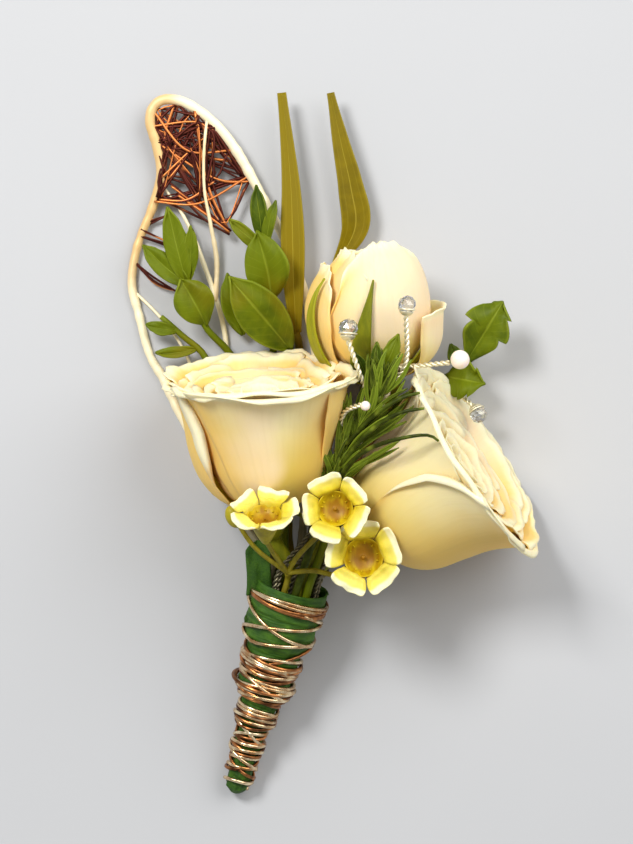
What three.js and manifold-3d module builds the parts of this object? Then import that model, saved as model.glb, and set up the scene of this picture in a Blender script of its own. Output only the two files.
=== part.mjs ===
import * as THREE from 'three'
import { mergeVertices } from 'three/addons/utils/BufferGeometryUtils.js'
import Module from 'manifold-3d'

// A boutonniere lying on its back: three cream roses, small cream filler flowers, leafy sprigs, a leaf
// frame of covered wire with a copper net, grass blades, needles and picks. Their stems and wires run
// side by side into a sheath of floral tape that tapers to a tip and is wound with gold and copper wire.
// Millimetres. +Z points up from the table, +Y from the stem's tip to the leaf frame, +X to the right.

const wasm = await Module()
wasm.setup()

// Places are measured across a level plane, as an eye high above the table sees them. A point above
// or below that plane is moved along its line of sight.
const EYE = { x: -3.2, y: 4.8, z: 831 }
const MEASURING_PLANE = 20

const WALL = 0.8
const LEAF_THICKNESS = 0.6
const CLEARANCE = 0.3
const SMOOTHING = 0.07

const COLOURS = {
  petal: 0xf3dfa0, calyx: 0x6f8426, leaf: 0x5f8420, lime: 0x98a62c, needle: 0x274d16, grass: 0x948a20,
  wax: 0xf4ecae, cup: 0x8f9425, stamen: 0xd8a51c, frame: 0xe9dcb4, copper: 0x8c4a32, gold: 0xd9b26a,
  tape: 0x2f6a2a, wire: 0xd9d0a0, crystal: 0xdfe4ea, pearl: 0xf0dccb,
}

function seen(x, y, z) {
  const nearness = (EYE.z - z) / (EYE.z - MEASURING_PLANE)
  return new THREE.Vector3(EYE.x + (x - EYE.x) * nearness, EYE.y + (y - EYE.y) * nearness, z)
}

function seenAll(points) {
  return points.map(([x, y, z]) => seen(x, y, z))
}

// Turns a closed geometry into a solid that can be joined and cut.
function solid(geometry) {
  const shape = geometry.clone()
  shape.deleteAttribute('normal')
  shape.deleteAttribute('uv')
  const merged = mergeVertices(shape, 1e-4)
  const vertProperties = Float32Array.from(merged.getAttribute('position').array)
  const triVerts = Uint32Array.from(merged.getIndex().array)
  return new wasm.Manifold(new wasm.Mesh({ numProp: 3, vertProperties, triVerts }))
}

// Joins the pieces, rids the result of very short edges, and keeps its one largest body.
function fuse(pieces) {
  const joined = wasm.Manifold.union(pieces).simplify(SMOOTHING)
  return joined.decompose().reduce((a, b) => (b.volume() > a.volume() ? b : a))
}

// A closed sheet of even thickness about a surface point(u, v), with u and v from 0 to 1. Both faces
// are split into triangles alike.
function sheet(point, across, along, thickness) {
  const step = 1e-3
  const positions = []
  for (const side of [1, -1]) {
    for (let j = 0; j <= along; j++) {
      for (let i = 0; i <= across; i++) {
        const u = i / across
        const v = j / along
        const tangentU = point(Math.min(u + step, 1), v).sub(point(Math.max(u - step, 0), v))
        const tangentV = point(u, Math.min(v + step, 1)).sub(point(u, Math.max(v - step, 0)))
        const normal = tangentU.cross(tangentV).normalize()
        positions.push(...point(u, v).addScaledVector(normal, side * thickness / 2))
      }
    }
  }
  const at = (i, j) => j * (across + 1) + i
  const back = (across + 1) * (along + 1)
  const index = []
  for (let j = 0; j < along; j++) {
    for (let i = 0; i < across; i++) {
      const [a, b, c, d] = [at(i, j), at(i + 1, j), at(i + 1, j + 1), at(i, j + 1)]
      index.push(a, b, c, a, c, d)
      index.push(back + a, back + c, back + b, back + a, back + d, back + c)
    }
  }
  const rim = []
  for (let i = 0; i < across; i++) rim.push(at(i, 0))
  for (let j = 0; j < along; j++) rim.push(at(across, j))
  for (let i = across; i > 0; i--) rim.push(at(i, along))
  for (let j = along; j > 0; j--) rim.push(at(0, j))
  rim.forEach((a, k) => {
    const b = rim[(k + 1) % rim.length]
    index.push(a, back + a, back + b, a, back + b, b)
  })
  const geometry = new THREE.BufferGeometry()
  geometry.setAttribute('position', new THREE.Float32BufferAttribute(positions, 3))
  geometry.setIndex(index)
  return solid(geometry)
}

// A round rod along a smooth curve through the points. Its rings are spaced evenly along the curve, or
// stand just at the points.
function rod(points, radius, sides, steps, atPoints = false) {
  const ring = []
  for (let k = 0; k < sides; k++) {
    const angle = (2 * Math.PI * k) / sides
    ring.push(new THREE.Vector2(radius * Math.cos(angle), radius * Math.sin(angle)))
  }
  const extrudePath = new THREE.CatmullRomCurve3(points, false, 'centripetal')
  if (atPoints) extrudePath.getUtoTmapping = (u) => u
  return solid(new THREE.ExtrudeGeometry(new THREE.Shape(ring), { steps, extrudePath, bevelEnabled: false }))
}

// A turned solid, its profile given as radius and height, stood on a point along an axis.
function turned(profile, sides, at, axis) {
  const points = profile.map(([radius, height]) => new THREE.Vector2(radius, height))
  const geometry = new THREE.LatheGeometry(points, sides)
  geometry.applyQuaternion(new THREE.Quaternion().setFromUnitVectors(new THREE.Vector3(0, 1, 0), axis))
  geometry.translate(at.x, at.y, at.z)
  return solid(geometry)
}

// A turned solid standing in a flower's frame.
function standing(profile, sides, frame) {
  const geometry = new THREE.LatheGeometry(profile.map(([r, h]) => new THREE.Vector2(r, h)), sides)
  geometry.rotateX(Math.PI / 2)
  return solid(geometry.applyMatrix4(frame))
}

// The part of a solid above the table, so that what presses on it has a small flat.
function aboveTable(shape) {
  const table = new THREE.BoxGeometry(400, 400, 20)
  table.translate(0, 0, -10)
  return shape.subtract(solid(table))
}

// The frame of a flower: local x faces the eye, local z runs out of the flower along its axis.
function flowerFrame(base, top) {
  const axis = top.clone().sub(base).normalize()
  const front = new THREE.Vector3(0, 0, 1).addScaledVector(axis, -axis.z).normalize()
  const side = axis.clone().cross(front)
  return new THREE.Matrix4().makeBasis(front, side, axis).setPosition(base)
}

const degrees = THREE.MathUtils.degToRad

// The sheath of tape runs from its mouth to its tip. A slot is a place across it, as a distance from
// its axis and an angle from the right, and how deep the stem in it goes.
const MOUTH = seen(-7.9, -26.5, 12.5)
const TIP = seen(-19.2, -67.3, 1.8)
const SHEATH_LENGTH = MOUTH.distanceTo(TIP)
const DOWN = TIP.clone().sub(MOUTH).normalize()
const RIGHT = new THREE.Vector3(-DOWN.y, DOWN.x, 0).normalize()
const UP = DOWN.clone().cross(RIGHT)
const TAPE_RADII = [
  [0, 6.9], [11, 6.5], [14, 5.3], [20, 5], [24, 4.2], [26, 3.4], [31, 3], [34, 2.3], [38, 2], [41, 1.8],
  [44, 1.2],
]
const TAPE_LENGTH = 44
const TAPE_SIDES = 10
const TAPE_LAPS = 7
const TAPE_LAP_RISE = 0.25
const TAPE_LAP_FALL = 0.2
const TAPE_END = 0.5
const TAPE_WALL = 0.75
const CAVITY_DEPTHS = [0.2, 11, 14, 20, 25, 34]

function tapeRadius(depth) {
  const next = Math.max(1, TAPE_RADII.findIndex(([d]) => d >= depth))
  const [d0, r0] = TAPE_RADII[next - 1]
  const [d1, r1] = TAPE_RADII[next]
  return r0 + ((r1 - r0) * (depth - d0)) / (d1 - d0)
}

function across(distance, angle, depth) {
  const turn = degrees(angle)
  return MOUTH.clone().addScaledVector(DOWN, depth)
    .addScaledVector(RIGHT, distance * Math.cos(turn)).addScaledVector(UP, distance * Math.sin(turn))
}

const INNER = 2.95
const OUTER = 5.1
const outerSlot = (k) => (360 / 14) * k
const SLOT_DEPTHS = { 0: 33, [INNER]: 15, [OUTER]: 5 }

function inSheath(points, [distance, angle]) {
  const depth = SLOT_DEPTHS[distance]
  return [...points, ...[-2.5, 0.5, depth].map((reached) => across(distance, angle, reached))]
}

// One rose petal: a profile of radius and height swept over an angle. Its lip is cut round at the
// corners and waved, one side lies further out than the other, and `press` flattens it on one side.
function rosePetal(frame, petal) {
  const profile = new THREE.SplineCurve(petal.profile.map(([r, h]) => new THREE.Vector2(r, h)))
  const { turn, half, lean = 1, wave = 0.35, round = 0.2, phase = 0, press = [0, 0, 1] } = petal
  const surface = (u, v) => {
    const s = 2 * u - 1
    const spot = profile.getPoint(v * (1 - round * Math.abs(s) ** 3))
    const lip = v ** 4
    const angle = turn + half * s * (0.6 + 0.4 * Math.min(1, 1.6 * v))
    const away = ((((angle - press[1]) % 360) + 540) % 360 - 180) / press[2]
    const radius = spot.x + lean * s * Math.min(1, 4 * v) + wave * lip * Math.sin(7 * s + phase)
    const pressed = radius - press[0] * Math.exp(-away * away) * Math.min(1, spot.x / 14) ** 2
    const height = spot.y + 0.6 * wave * lip * Math.cos(9 * s + phase)
    const swing = degrees(angle)
    const place = new THREE.Vector3(pressed * Math.cos(swing), pressed * Math.sin(swing), height)
    return place.applyMatrix4(frame)
  }
  return sheet(surface, petal.across, petal.along, WALL)
}

const OPEN_PROFILES = {
  outer: [
    [2.2, 0.2], [8.6, 2.4], [12.1, 7.2], [13.6, 13], [15, 18.6], [17.2, 23.4], [18.8, 25.3], [19.7, 24.8],
  ],
  middle: [[1.8, 1], [7.2, 4.4], [10, 9.5], [11, 15], [12, 20.5], [13.6, 24.6], [14.6, 25.4]],
  inner: [[1.4, 1.6], [5.2, 5.5], [7, 10.5], [7.2, 16], [7, 21], [8, 25]],
  core: [[0, 1], [3.2, 4], [4.2, 10], [3.8, 17], [2, 22.5], [0, 23.6]],
}

const BUD_PROFILES = {
  outer: [[1.8, 0.4], [6.6, 2.4], [9.8, 5.6], [11.6, 10], [12.2, 15], [12.6, 18]],
  middle: [[1.6, 1], [6, 4], [9.2, 8.6], [10.6, 14], [10.2, 20], [7.8, 25], [5.4, 27.6]],
  inner: [[1.2, 1.6], [4.4, 6], [6.4, 12], [6.2, 18], [4.6, 23.5], [3, 26.2]],
  core: [[0, 1], [2.6, 5], [3.4, 12], [2.8, 19], [1.2, 24.5], [0, 25.4]],
}

const ROSE_FOOT = [[0, -0.4], [3.6, -0.1], [4.6, 1.2], [3.4, 3.4], [0, 4.2]]

// The petals of a rose by layers. Each layer has the heights of its petals, the angle of the first
// one and their half width.
function roseBloom(rose) {
  const frame = flowerFrame(seen(...rose.base), seen(...rose.rim))
  const pieces = []
  for (const layer of rose.layers) {
    for (let k = 0; k < layer.heights.length; k++) {
      const tall = rose.tall * layer.heights[k]
      const profile = rose.profiles[layer.name].map(([r, h]) => [r * rose.wide, h * tall])
      const turn = layer.first + (360 / layer.heights.length) * k
      pieces.push(rosePetal(frame, { ...layer, profile, turn, phase: k * 1.7, press: rose.press }))
    }
  }
  pieces.push(standing(rose.profiles.core.map(([r, h]) => [r * rose.wide, h * rose.tall]), 8, frame))
  pieces.push(standing(ROSE_FOOT, 10, frame))
  return aboveTable(fuse(pieces))
}

const OPEN_LAYERS = [
  {
    name: 'outer', heights: [0.95, 1, 1.02, 0.99, 0.96], first: 8, half: 52, across: 5, along: 5, wave: 0.4,
    round: 0.16,
  },
  {
    name: 'middle', heights: [1, 1, 1, 1], first: 40, half: 58, across: 4, along: 3, wave: 0.4, round: 0.15,
  },
  {
    name: 'inner', heights: [1, 1, 1], first: 10, half: 68, across: 4, along: 3, wave: 0.3, round: 0.15,
  },
]

const BUD_LAYERS = [
  {
    name: 'outer', heights: [0.78, 1, 1], first: 85, half: 44, across: 4, along: 3, wave: 0.3, round: 0.3,
    lean: 0.4,
  },
  {
    name: 'middle', heights: [1, 1, 1], first: 15, half: 72, across: 6, along: 4, wave: 0.4, round: 0.22,
    lean: 0.8,
  },
  {
    name: 'inner', heights: [1, 1], first: 60, half: 88, across: 5, along: 3, wave: 0.3, round: 0.2,
    lean: 0.8,
  },
]

const ROSES = {
  left: {
    base: [-12.1, -11.7, 16.5], rim: [-13.7, 14.4, 21.6], wide: 0.985, tall: 1.03,
    profiles: OPEN_PROFILES, layers: OPEN_LAYERS, press: [4.4, 114, 32],
    stem: [[-11, -18.5, 14.2]], slot: [0, 0], sepals: [], hanging: [130, 180, 235],
  },
  right: {
    base: [6.3, -15.6, 14.9], rim: [27.5, -1.9, 20], wide: 1.04, tall: 1.03,
    profiles: OPEN_PROFILES, layers: OPEN_LAYERS, press: [0, 0, 30],
    stem: [[1.2, -19.4, 14], [-2.6, -23.2, 14.2]], slot: [INNER, 30], sepals: [], hanging: [118, 262],
  },
  back: {
    base: [9, 12.5, 9.4], rim: [7, 39.5, 14.5], wide: 1, tall: 1,
    profiles: BUD_PROFILES, layers: BUD_LAYERS, press: [0, 0, 30],
    stem: [[8.1, 4, 7.6], [3.6, -6, 7.6], [-1.6, -17.5, 9.6]], slot: [INNER, 330],
    sepals: [[-12, 3.4, 0.62, 0], [-82, 2.6, 0.84, 14], [62, 3, 0.5, 0], [150, 3, 0.6, 0], [212, 3, 0.6, 0]],
    hanging: [],
  },
}

const ROSE_STEM_RADIUS = 1.2
const SEPAL_LIFT = 0.95

// A sepal lies along the outside of the bloom, a little clear of its petals, and its tip bends aside by
// some degrees.
function sepal(frame, profile, turn, width, reach, bend) {
  const line = new THREE.SplineCurve(profile.map(([r, h]) => new THREE.Vector2(r, h)))
  const surface = (u, v) => {
    const spot = line.getPoint(0.04 + reach * v)
    const radius = spot.x + SEPAL_LIFT
    const across = (u - 0.5) * (width * Math.sin(Math.PI * Math.min(1, 0.3 + 0.68 * v)) + 0.5)
    const angle = degrees(turn + bend * v) + across / Math.max(radius, 3)
    const place = new THREE.Vector3(radius * Math.cos(angle), radius * Math.sin(angle), spot.y - 0.6)
    return place.applyMatrix4(frame)
  }
  return sheet(surface, 2, 6, LEAF_THICKNESS)
}

// Sepals that hang back from the calyx, as on an open rose.
function hangingSepal(frame, turn) {
  const surface = (u, v) => {
    const radius = 3 + 5.2 * v
    const across = (u - 0.5) * (2.6 * Math.sin(Math.PI * (0.35 + 0.6 * v)) + 0.4)
    const angle = degrees(turn) + across / radius
    const height = -1.9 + 0.9 * v - 2.6 * v * v
    const place = new THREE.Vector3(radius * Math.cos(angle), radius * Math.sin(angle), height)
    return place.applyMatrix4(frame)
  }
  return sheet(surface, 2, 3, LEAF_THICKNESS)
}

const CALYX = [[0, -6.4], [1.3, -5.8], [2.6, -3.8], [2.9, -2.2], [3.9, -0.9], [3.3, -0.8], [0, -0.8]]

function roseStem(rose) {
  const frame = flowerFrame(seen(...rose.base), seen(...rose.rim))
  const down = new THREE.Vector3(0, 0, -4).applyMatrix4(frame)
  const run = inSheath([down, ...seenAll(rose.stem)], rose.slot)
  const pieces = [standing(CALYX, 9, frame), rod(run, ROSE_STEM_RADIUS, 6, 12)]
  for (const [turn, width, reach, bend] of rose.sepals) {
    pieces.push(sepal(frame, rose.profiles.middle, turn, width, reach, bend))
  }
  for (const turn of rose.hanging) pieces.push(hangingSepal(frame, turn))
  return aboveTable(fuse(pieces))
}

// Loose ends of the tape: a wide one that stands up at the mouth and a small one lower down.
const TAPE_FLAP = {
  from: [-14.5, -26.6, 14], to: [-14.8, -18.8, 16.4], width: 5, widest: 0.3, fold: 0.2,
}
const TAPE_TAB = { from: [-15, -32.4, 11.5], to: [-16.9, -33.6, 11.2], width: 2.6, widest: 0.3 }

function tape() {
  const outside = [[0, 0]]
  for (let lap = TAPE_LAPS; lap > 0; lap--) {
    const low = Math.min(TAPE_LENGTH - TAPE_END, (TAPE_LENGTH / TAPE_LAPS) * lap)
    const high = (TAPE_LENGTH / TAPE_LAPS) * (lap - 1) + TAPE_LAP_FALL
    outside.push([tapeRadius(low), SHEATH_LENGTH - low])
    outside.push([tapeRadius(high) + TAPE_LAP_RISE, SHEATH_LENGTH - high])
  }
  const inside = CAVITY_DEPTHS.map((depth) => [tapeRadius(depth) - TAPE_WALL, SHEATH_LENGTH - depth])
  const floor = [0, inside[inside.length - 1][1]]
  const sheath = turned([...outside, ...inside, floor], TAPE_SIDES, TIP, DOWN.clone().negate())
  return aboveTable(fuse([sheath, leafBlade(TAPE_FLAP, 2, 4), leafBlade(TAPE_TAB, 1, 3)]))
}

// The outside of the tape at a depth: each lap falls from its raised upper edge to its lower one.
function lapRadius(depth) {
  const lap = TAPE_LENGTH / TAPE_LAPS
  const high = Math.floor(depth / lap) * lap
  const low = Math.min(TAPE_LENGTH - TAPE_END, high + lap)
  return THREE.MathUtils.lerp(tapeRadius(high) + TAPE_LAP_RISE, tapeRadius(low), (depth - high) / lap)
}

// Wire wound round the tape: the depth it has reached after so many turns.
const GOLD_TURNS = [
  [0, 1.4], [2, 4.4], [3, 14.6], [5.4, 20], [6.2, 26], [7.8, 29.6], [8.6, 33], [10, 36], [11.6, 41.4],
]
const COPPER_TURNS = [[3, 15.6], [5.4, 21], [6.2, 27], [7.8, 30.6], [8.6, 34], [10, 37]]
const COUNTER_TURNS = [[0, 4.2], [1.1, 14.4]]
const GOLD_RADIUS = 0.26
const COPPER_RADIUS = 0.22
const WINDING_STEPS = 8
const WINDING_REACH = 0.9

function depthAt(table, turns) {
  const next = Math.max(1, table.findIndex(([n]) => n >= turns))
  const [n0, d0] = table[next - 1]
  const [n1, d1] = table[next]
  return d0 + ((d1 - d0) * (turns - n0)) / (n1 - n0)
}

function winding(table, radius, start, hand) {
  const first = table[0][0]
  const last = table[table.length - 1][0]
  const count = Math.round((last - first) * WINDING_STEPS)
  const points = []
  for (let k = 0; k <= count; k++) {
    const turns = first + ((last - first) * k) / count
    const depth = depthAt(table, turns)
    const nearby = [depth - WINDING_REACH, depth, depth + WINDING_REACH]
    const under = Math.max(...nearby.map((d) => lapRadius(Math.max(0, d))))
    const clear = (under + CLEARANCE + radius) / Math.cos(Math.PI / WINDING_STEPS)
    points.push(across(clear, start + hand * 360 * turns, depth))
  }
  return rod(points, radius, 4, count, true)
}

const goldWire = () => aboveTable(fuse([
  winding(GOLD_TURNS, GOLD_RADIUS, 200, 1), winding(COUNTER_TURNS, GOLD_RADIUS, 60, -1),
]))
const copperWire = () => aboveTable(fuse([winding(COPPER_TURNS, COPPER_RADIUS, 200, 1)]))

// A leaf from its foot to its tip, both given as seen. It arches towards the eye, folds along its
// midrib, and its edge may be cut into teeth.
function leafBlade(leaf, wide, long) {
  const { width, arch = 0.6, fold = 0.15, widest = 0.5, teeth = 0, cut = 0, tilt = 0 } = leaf
  const from = seen(...leaf.from)
  const run = seen(...leaf.to).sub(from)
  const facing = new THREE.Vector3(Math.sin(degrees(tilt)), 0, Math.cos(degrees(tilt)))
  const side = run.clone().cross(facing).normalize()
  const rise = side.clone().cross(run).normalize()
  const power = Math.log(0.5) / Math.log(widest)
  const surface = (u, v) => {
    const s = 2 * u - 1
    const tooth = 0.5 + 0.5 * Math.cos(2 * Math.PI * teeth * v)
    const notch = teeth ? 1 - cut * tooth * Math.min(1, 4 * v) : 1
    const half = 0.4 + (width / 2 - 0.4) * Math.sin(Math.PI * v ** power) ** 0.8 * notch
    return from.clone().addScaledVector(run, v).addScaledVector(side, s * half)
      .addScaledVector(rise, arch * 4 * v * (1 - v) + fold * Math.abs(s) * half)
  }
  return sheet(surface, wide, long, LEAF_THICKNESS)
}

const SPRIG_STEM_RADIUS = 0.6

function leafSteps({ teeth, width }) {
  if (teeth) return teeth * 3
  return width > 5 ? 5 : 4
}

// A sprig: its leaves on one stem that runs down into the sheath.
function sprig({ stem, slot, leaves }) {
  const pieces = [rod(inSheath(seenAll(stem), slot), SPRIG_STEM_RADIUS, 4, stem.length + 6)]
  for (const leaf of leaves) pieces.push(leafBlade(leaf, 2, leafSteps(leaf)))
  return aboveTable(fuse(pieces))
}

const SPRIGS = {
  sprig_left: {
    stem: [
      [-28.6, 32.8, 6], [-26.3, 28.3, 5.4], [-24.6, 23.2, 4.4], [-19.4, 17.2, 1.6], [-17, 8, 1.4],
      [-14.8, -4, 3], [-12.2, -15, 5.4],
    ],
    slot: [OUTER, outerSlot(9)],
    leaves: [
      { from: [-28.2, 31.2, 6], to: [-31.9, 46.2, 9], width: 4.6 },
      { from: [-27.6, 31, 6], to: [-36.7, 38.8, 7.5], width: 3.6 },
      { from: [-27.8, 32, 6], to: [-27.4, 42.6, 8.6], width: 2.9 },
      { from: [-24.4, 23.4, 4.6], to: [-29.5, 32.4, 8.6], width: 7.6, widest: 0.55, arch: 1.4 },
    ],
  },
  sprig_low_left: {
    stem: [
      [-33, 25, 3.6], [-29, 21.4, 3.4], [-24.8, 17.6, 3], [-22.8, 10, 3.2], [-19.2, -4, 4.4],
      [-15.2, -14, 6.8],
    ],
    slot: [OUTER, outerSlot(8)],
    leaves: [
      { from: [-30.2, 22.3, 3.6], to: [-36, 23.6, 4.4], width: 2.6 },
      { from: [-26.4, 18.8, 3.2], to: [-34.2, 18.1, 4.4], width: 2.3 },
    ],
  },
  sprig_centre: {
    stem: [
      [-13.7, 40, 6.8], [-12.9, 35, 6.4], [-11.7, 26.3, 4.4], [-11.6, 19, 1.4], [-10.8, 10, 1.2],
      [-9.8, -4, 3.2], [-9.4, -16, 7],
    ],
    slot: [INNER, 210],
    leaves: [
      { from: [-13.6, 39.4, 6.8], to: [-14.8, 50.4, 8.4], width: 3.2 },
      { from: [-13, 38.6, 6.8], to: [-11, 47.4, 8], width: 2.3 },
      { from: [-11.8, 28.2, 5], to: [-14.6, 41.6, 10.4], width: 8.4, arch: 1.4 },
      { from: [-12, 24.5, 4], to: [-19.9, 33.4, 7], width: 4.4 },
      { from: [-10.2, 17.6, 2.4], to: [-18.4, 32.6, 11], width: 8, arch: 1.6 },
      { from: [-13.2, 37.6, 6.6], to: [-20, 43.8, 7.6], width: 2.8 },
    ],
  },
  sprig_right: {
    stem: [
      [26.2, 16.6, 7], [21.6, 13.4, 4.6], [15.2, 10.4, 3.6], [8.6, 3, 3.4], [3.8, -6, 4], [1.4, -16.5, 7.6],
    ],
    slot: [OUTER, outerSlot(13)],
    leaves: [
      {
        from: [25.2, 15.8, 6.8], to: [32.4, 28, 10.6], width: 7.6, widest: 0.58, teeth: 4, cut: 0.42,
        arch: 0.9,
      },
      { from: [22, 13.6, 5], to: [29, 12.4, 8.6], width: 6.4, teeth: 3, cut: 0.36 },
      { from: [24.6, 15.4, 6.6], to: [22.6, 19.8, 8.6], width: 3 },
    ],
  },
  sprig_middle: {
    stem: [[8.6, 13, 25.4], [6.4, 6, 23.6], [3.4, -1, 21.8], [0.6, -11, 19.8], [-2.2, -20, 17.8]],
    slot: [OUTER, outerSlot(2)],
    leaves: [
      { from: [8.2, 11.8, 25], to: [8.4, 20.2, 27.2], width: 2.5 },
      { from: [8.4, 12.4, 25.2], to: [12.6, 21.7, 27.4], width: 3.4 },
      { from: [7.6, 10.4, 24.6], to: [4.2, 18.2, 28.2], width: 2.4 },
    ],
  },
}

const GRASS_STEM_RADIUS = 0.55
const GRASS_THICKNESS = 0.7

// A grass blade with a shallow keel, on a stem that runs down into the sheath.
function grassBlade({ spine, widths, slot, foot }) {
  const line = new THREE.CatmullRomCurve3(seenAll(spine), false, 'centripetal')
  const reach = new THREE.SplineCurve(widths.map((w, k) => new THREE.Vector2(k, w)))
  const surface = (u, v) => {
    const s = 2 * u - 1
    const spot = line.getPoint(v)
    const side = line.getTangent(v).cross(new THREE.Vector3(0, 0, 1)).normalize()
    const half = reach.getPoint(v).y / 2
    return spot.addScaledVector(side, s * half).add(new THREE.Vector3(0, 0, 0.25 * Math.abs(s) * half))
  }
  const run = inSheath([seen(...spine[0]), ...seenAll(foot)], slot)
  const stem = rod(run, GRASS_STEM_RADIUS, 5, foot.length * 2 + 5)
  return aboveTable(fuse([sheet(surface, 2, 9, GRASS_THICKNESS), stem]))
}

const GRASS = {
  grass_left: {
    spine: [
      [-7.4, 26, 3.6], [-7.7, 33, 4.6], [-7.8, 41, 5.2], [-8.1, 50, 5.4], [-9, 60, 5.4], [-9.9, 68.1, 5.2],
    ],
    widths: [1.8, 2.6, 3.4, 3.1, 2.5, 1.7],
    foot: [[-6.6, 20, 1.5], [-6.4, 10, 1.2], [-7.4, -4, 2.6], [-8.6, -16, 5]],
    slot: [OUTER, outerSlot(10)],
  },
  grass_right: {
    spine: [
      [-0.8, 28, 1.2], [0.6, 34.5, 1.6], [4.3, 42.5, 3.4], [3.4, 50, 4.4], [1.4, 59, 5], [-0.5, 68.1, 5],
    ],
    widths: [1.4, 2.4, 5.6, 4.6, 3, 1.4],
    foot: [[-0.8, 20, 1.2], [-0.6, 10, 1.2], [-2.2, -4, 3], [-4, -16, 5.4]],
    slot: [OUTER, outerSlot(11)],
  },
}

const WIRE = 0.85
const VEIN = 0.5
const FRAME_SLOT = 4.8
const FRAME_OUTLINE = [
  [-19, -13, 6.2], [-25.8, -2, 1.9], [-30.6, 7, 0.9], [-32.9, 13.5, 0.8], [-35.2, 17.5, 0.8],
  [-37.4, 25.6, 0.8], [-38.7, 31.3, 0.85], [-37.6, 38.7, 1], [-34.6, 46.5, 1.6], [-33, 52.5, 2.2],
  [-34, 58.4, 2.8], [-35.2, 62.4, 3.2], [-34.7, 65.2, 3.5], [-32.9, 66.7, 3.7], [-29.6, 66.6, 3.8],
  [-26.2, 64.9, 3.8], [-22.4, 61.8, 3.7], [-18.9, 57.4, 3.4], [-14.2, 49.2, 2.9], [-10.4, 42, 2.2],
  [-6.8, 34, 1.5], [-4.2, 24, 1], [-3.4, 12, 1], [-4.6, 0, 1.6], [-5.4, -10, 4.8], [-6.2, -19, 8.4],
]

const FRAME_VEINS = [
  [
    [-33.2, 50.6, 2], [-30, 46.5, 2.2], [-27.2, 41.2, 2.3], [-25.2, 36, 2], [-21.9, 26.5, 1.3],
    [-20.4, 18, 0.7], [-21, 9, 0.6], [-25, -1.6, 1.7],
  ],
  [
    [-24.2, 63.4, 3.7], [-24.9, 57, 3.4], [-24.8, 50.6, 3], [-23.6, 43, 2.5], [-22.4, 36, 2],
    [-22.6, 28, 1.5],
  ],
]

// Covered wire bent to a leaf's outline, with two veins. Both its ends run down into the sheath.
function leafFrame() {
  const outline = [
    across(FRAME_SLOT, 180, 5.5), across(FRAME_SLOT, 180, 0), across(FRAME_SLOT, 180, -2.5),
    ...seenAll(FRAME_OUTLINE),
    across(INNER, 270, -2.5), across(INNER, 270, 0.5), across(INNER, 270, 15),
  ]
  const pieces = [rod(outline, WIRE, 5, 46)]
  for (const vein of FRAME_VEINS) pieces.push(rod(seenAll(vein), VEIN, 4, vein.length + 1))
  return aboveTable(fuse(pieces))
}

const NET_WIRE = 0.4
const NET_LIFT = 1.75

const netBase = (y) => 0.8 + 3 * THREE.MathUtils.clamp((y - 33) / 30, 0, 1)

const NET_STRANDS = [
  [[-35.4, 61.6], [-26, 62.4], [-23, 60.4]], [[-34.6, 64.6], [-28, 57], [-19.6, 57]],
  [[-30.4, 66.6], [-32, 58], [-17.6, 54.6]], [[-22.6, 61.6], [-33, 51.8]],
  [[-34.4, 58.8], [-22, 51.4], [-15.6, 51]], [[-26.6, 64.6], [-24, 50], [-20.4, 42.2]],
  [[-16, 52.2], [-26, 46.8], [-34.4, 47.2]],
]

// The copper net: strands drawn straight across the frame, each crossing those of the other hand.
function copperNet() {
  const pieces = NET_STRANDS.map((strand) => rod(
    strand.map(([x, y]) => seen(x, y, NET_LIFT + netBase(y))), NET_WIRE, 3, strand.length - 1,
  ))
  return fuse(pieces)
}

// A filler flower: its cup, a ring of five petals and the yellow middle.
const FILLERS = [
  {
    at: [-13.1, -13.9, 33.8], to: [-13.3, -8.5, 37.6], size: 1.0, turn: 20, stem: [[-11.4, -20.5, 24.6]],
  },
  {
    at: [0.4, -11.9, 30.8], to: [0.2, -11.3, 40.4], size: 1.0, turn: 40,
    stem: [[-1.6, -15.6, 24.8], [-6.8, -21, 22]],
  },
  {
    at: [5.8, -21.2, 27.2], to: [6, -21.4, 37], size: 1.12, turn: 5,
    stem: [[1.6, -24.6, 20.6], [-3.8, -23.8, 21.4]],
  },
]
const FILLER_STEM_RADIUS = 0.5
const FILLER_TRUNK_RADIUS = 0.6
const FILLER_KNOB_RADIUS = 0.45
const FILLER_KNOB_RING = 1.35
const FILLER_BUD = [[0, -2.6], [1.1, -1.6], [1.5, 0.2], [1, 1.8], [0, 2.4]]
const FILLER_CUP = [[0, -5.6], [0.8, -5.3], [2.3, -2.2], [3, 0.9], [2.4, 0.9], [2.05, -0.9], [0, -1.1]]
const FILLER_RING = [[3.3, -0.7], [3.95, 0.1], [3.35, 0.55], [3.3, -0.7]]
const FILLER_DISC = [[0, -0.7], [1.5, -0.5], [1.2, 0.25], [0.5, 0.5], [0.4, 1.7], [0, 1.8]]

function fillerFrame(flower) {
  const size = new THREE.Vector3().setScalar(flower.size)
  return flowerFrame(seen(...flower.at), seen(...flower.to)).scale(size)
}

function fillerPetals(flower) {
  const frame = fillerFrame(flower)
  const pieces = [standing(FILLER_RING, 10, frame)]
  for (let k = 0; k < 5; k++) {
    const turn = degrees(flower.turn + 72 * k)
    const surface = (u, v) => {
      const s = 2 * u - 1
      const out = 3.4 + 3.2 * v
      const half = 1.5 + 1.42 * Math.sin(Math.PI * (0.08 + 0.6 * v))
      const height = 0.1 + 0.5 * v + 0.9 * s * s * v + 0.6 * v * v
      const x = out * Math.cos(turn) - s * half * Math.sin(turn)
      const y = out * Math.sin(turn) + s * half * Math.cos(turn)
      return new THREE.Vector3(x, y, height).applyMatrix4(frame)
    }
    pieces.push(sheet(surface, 3, 2, LEAF_THICKNESS))
  }
  return fuse(pieces)
}

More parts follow.
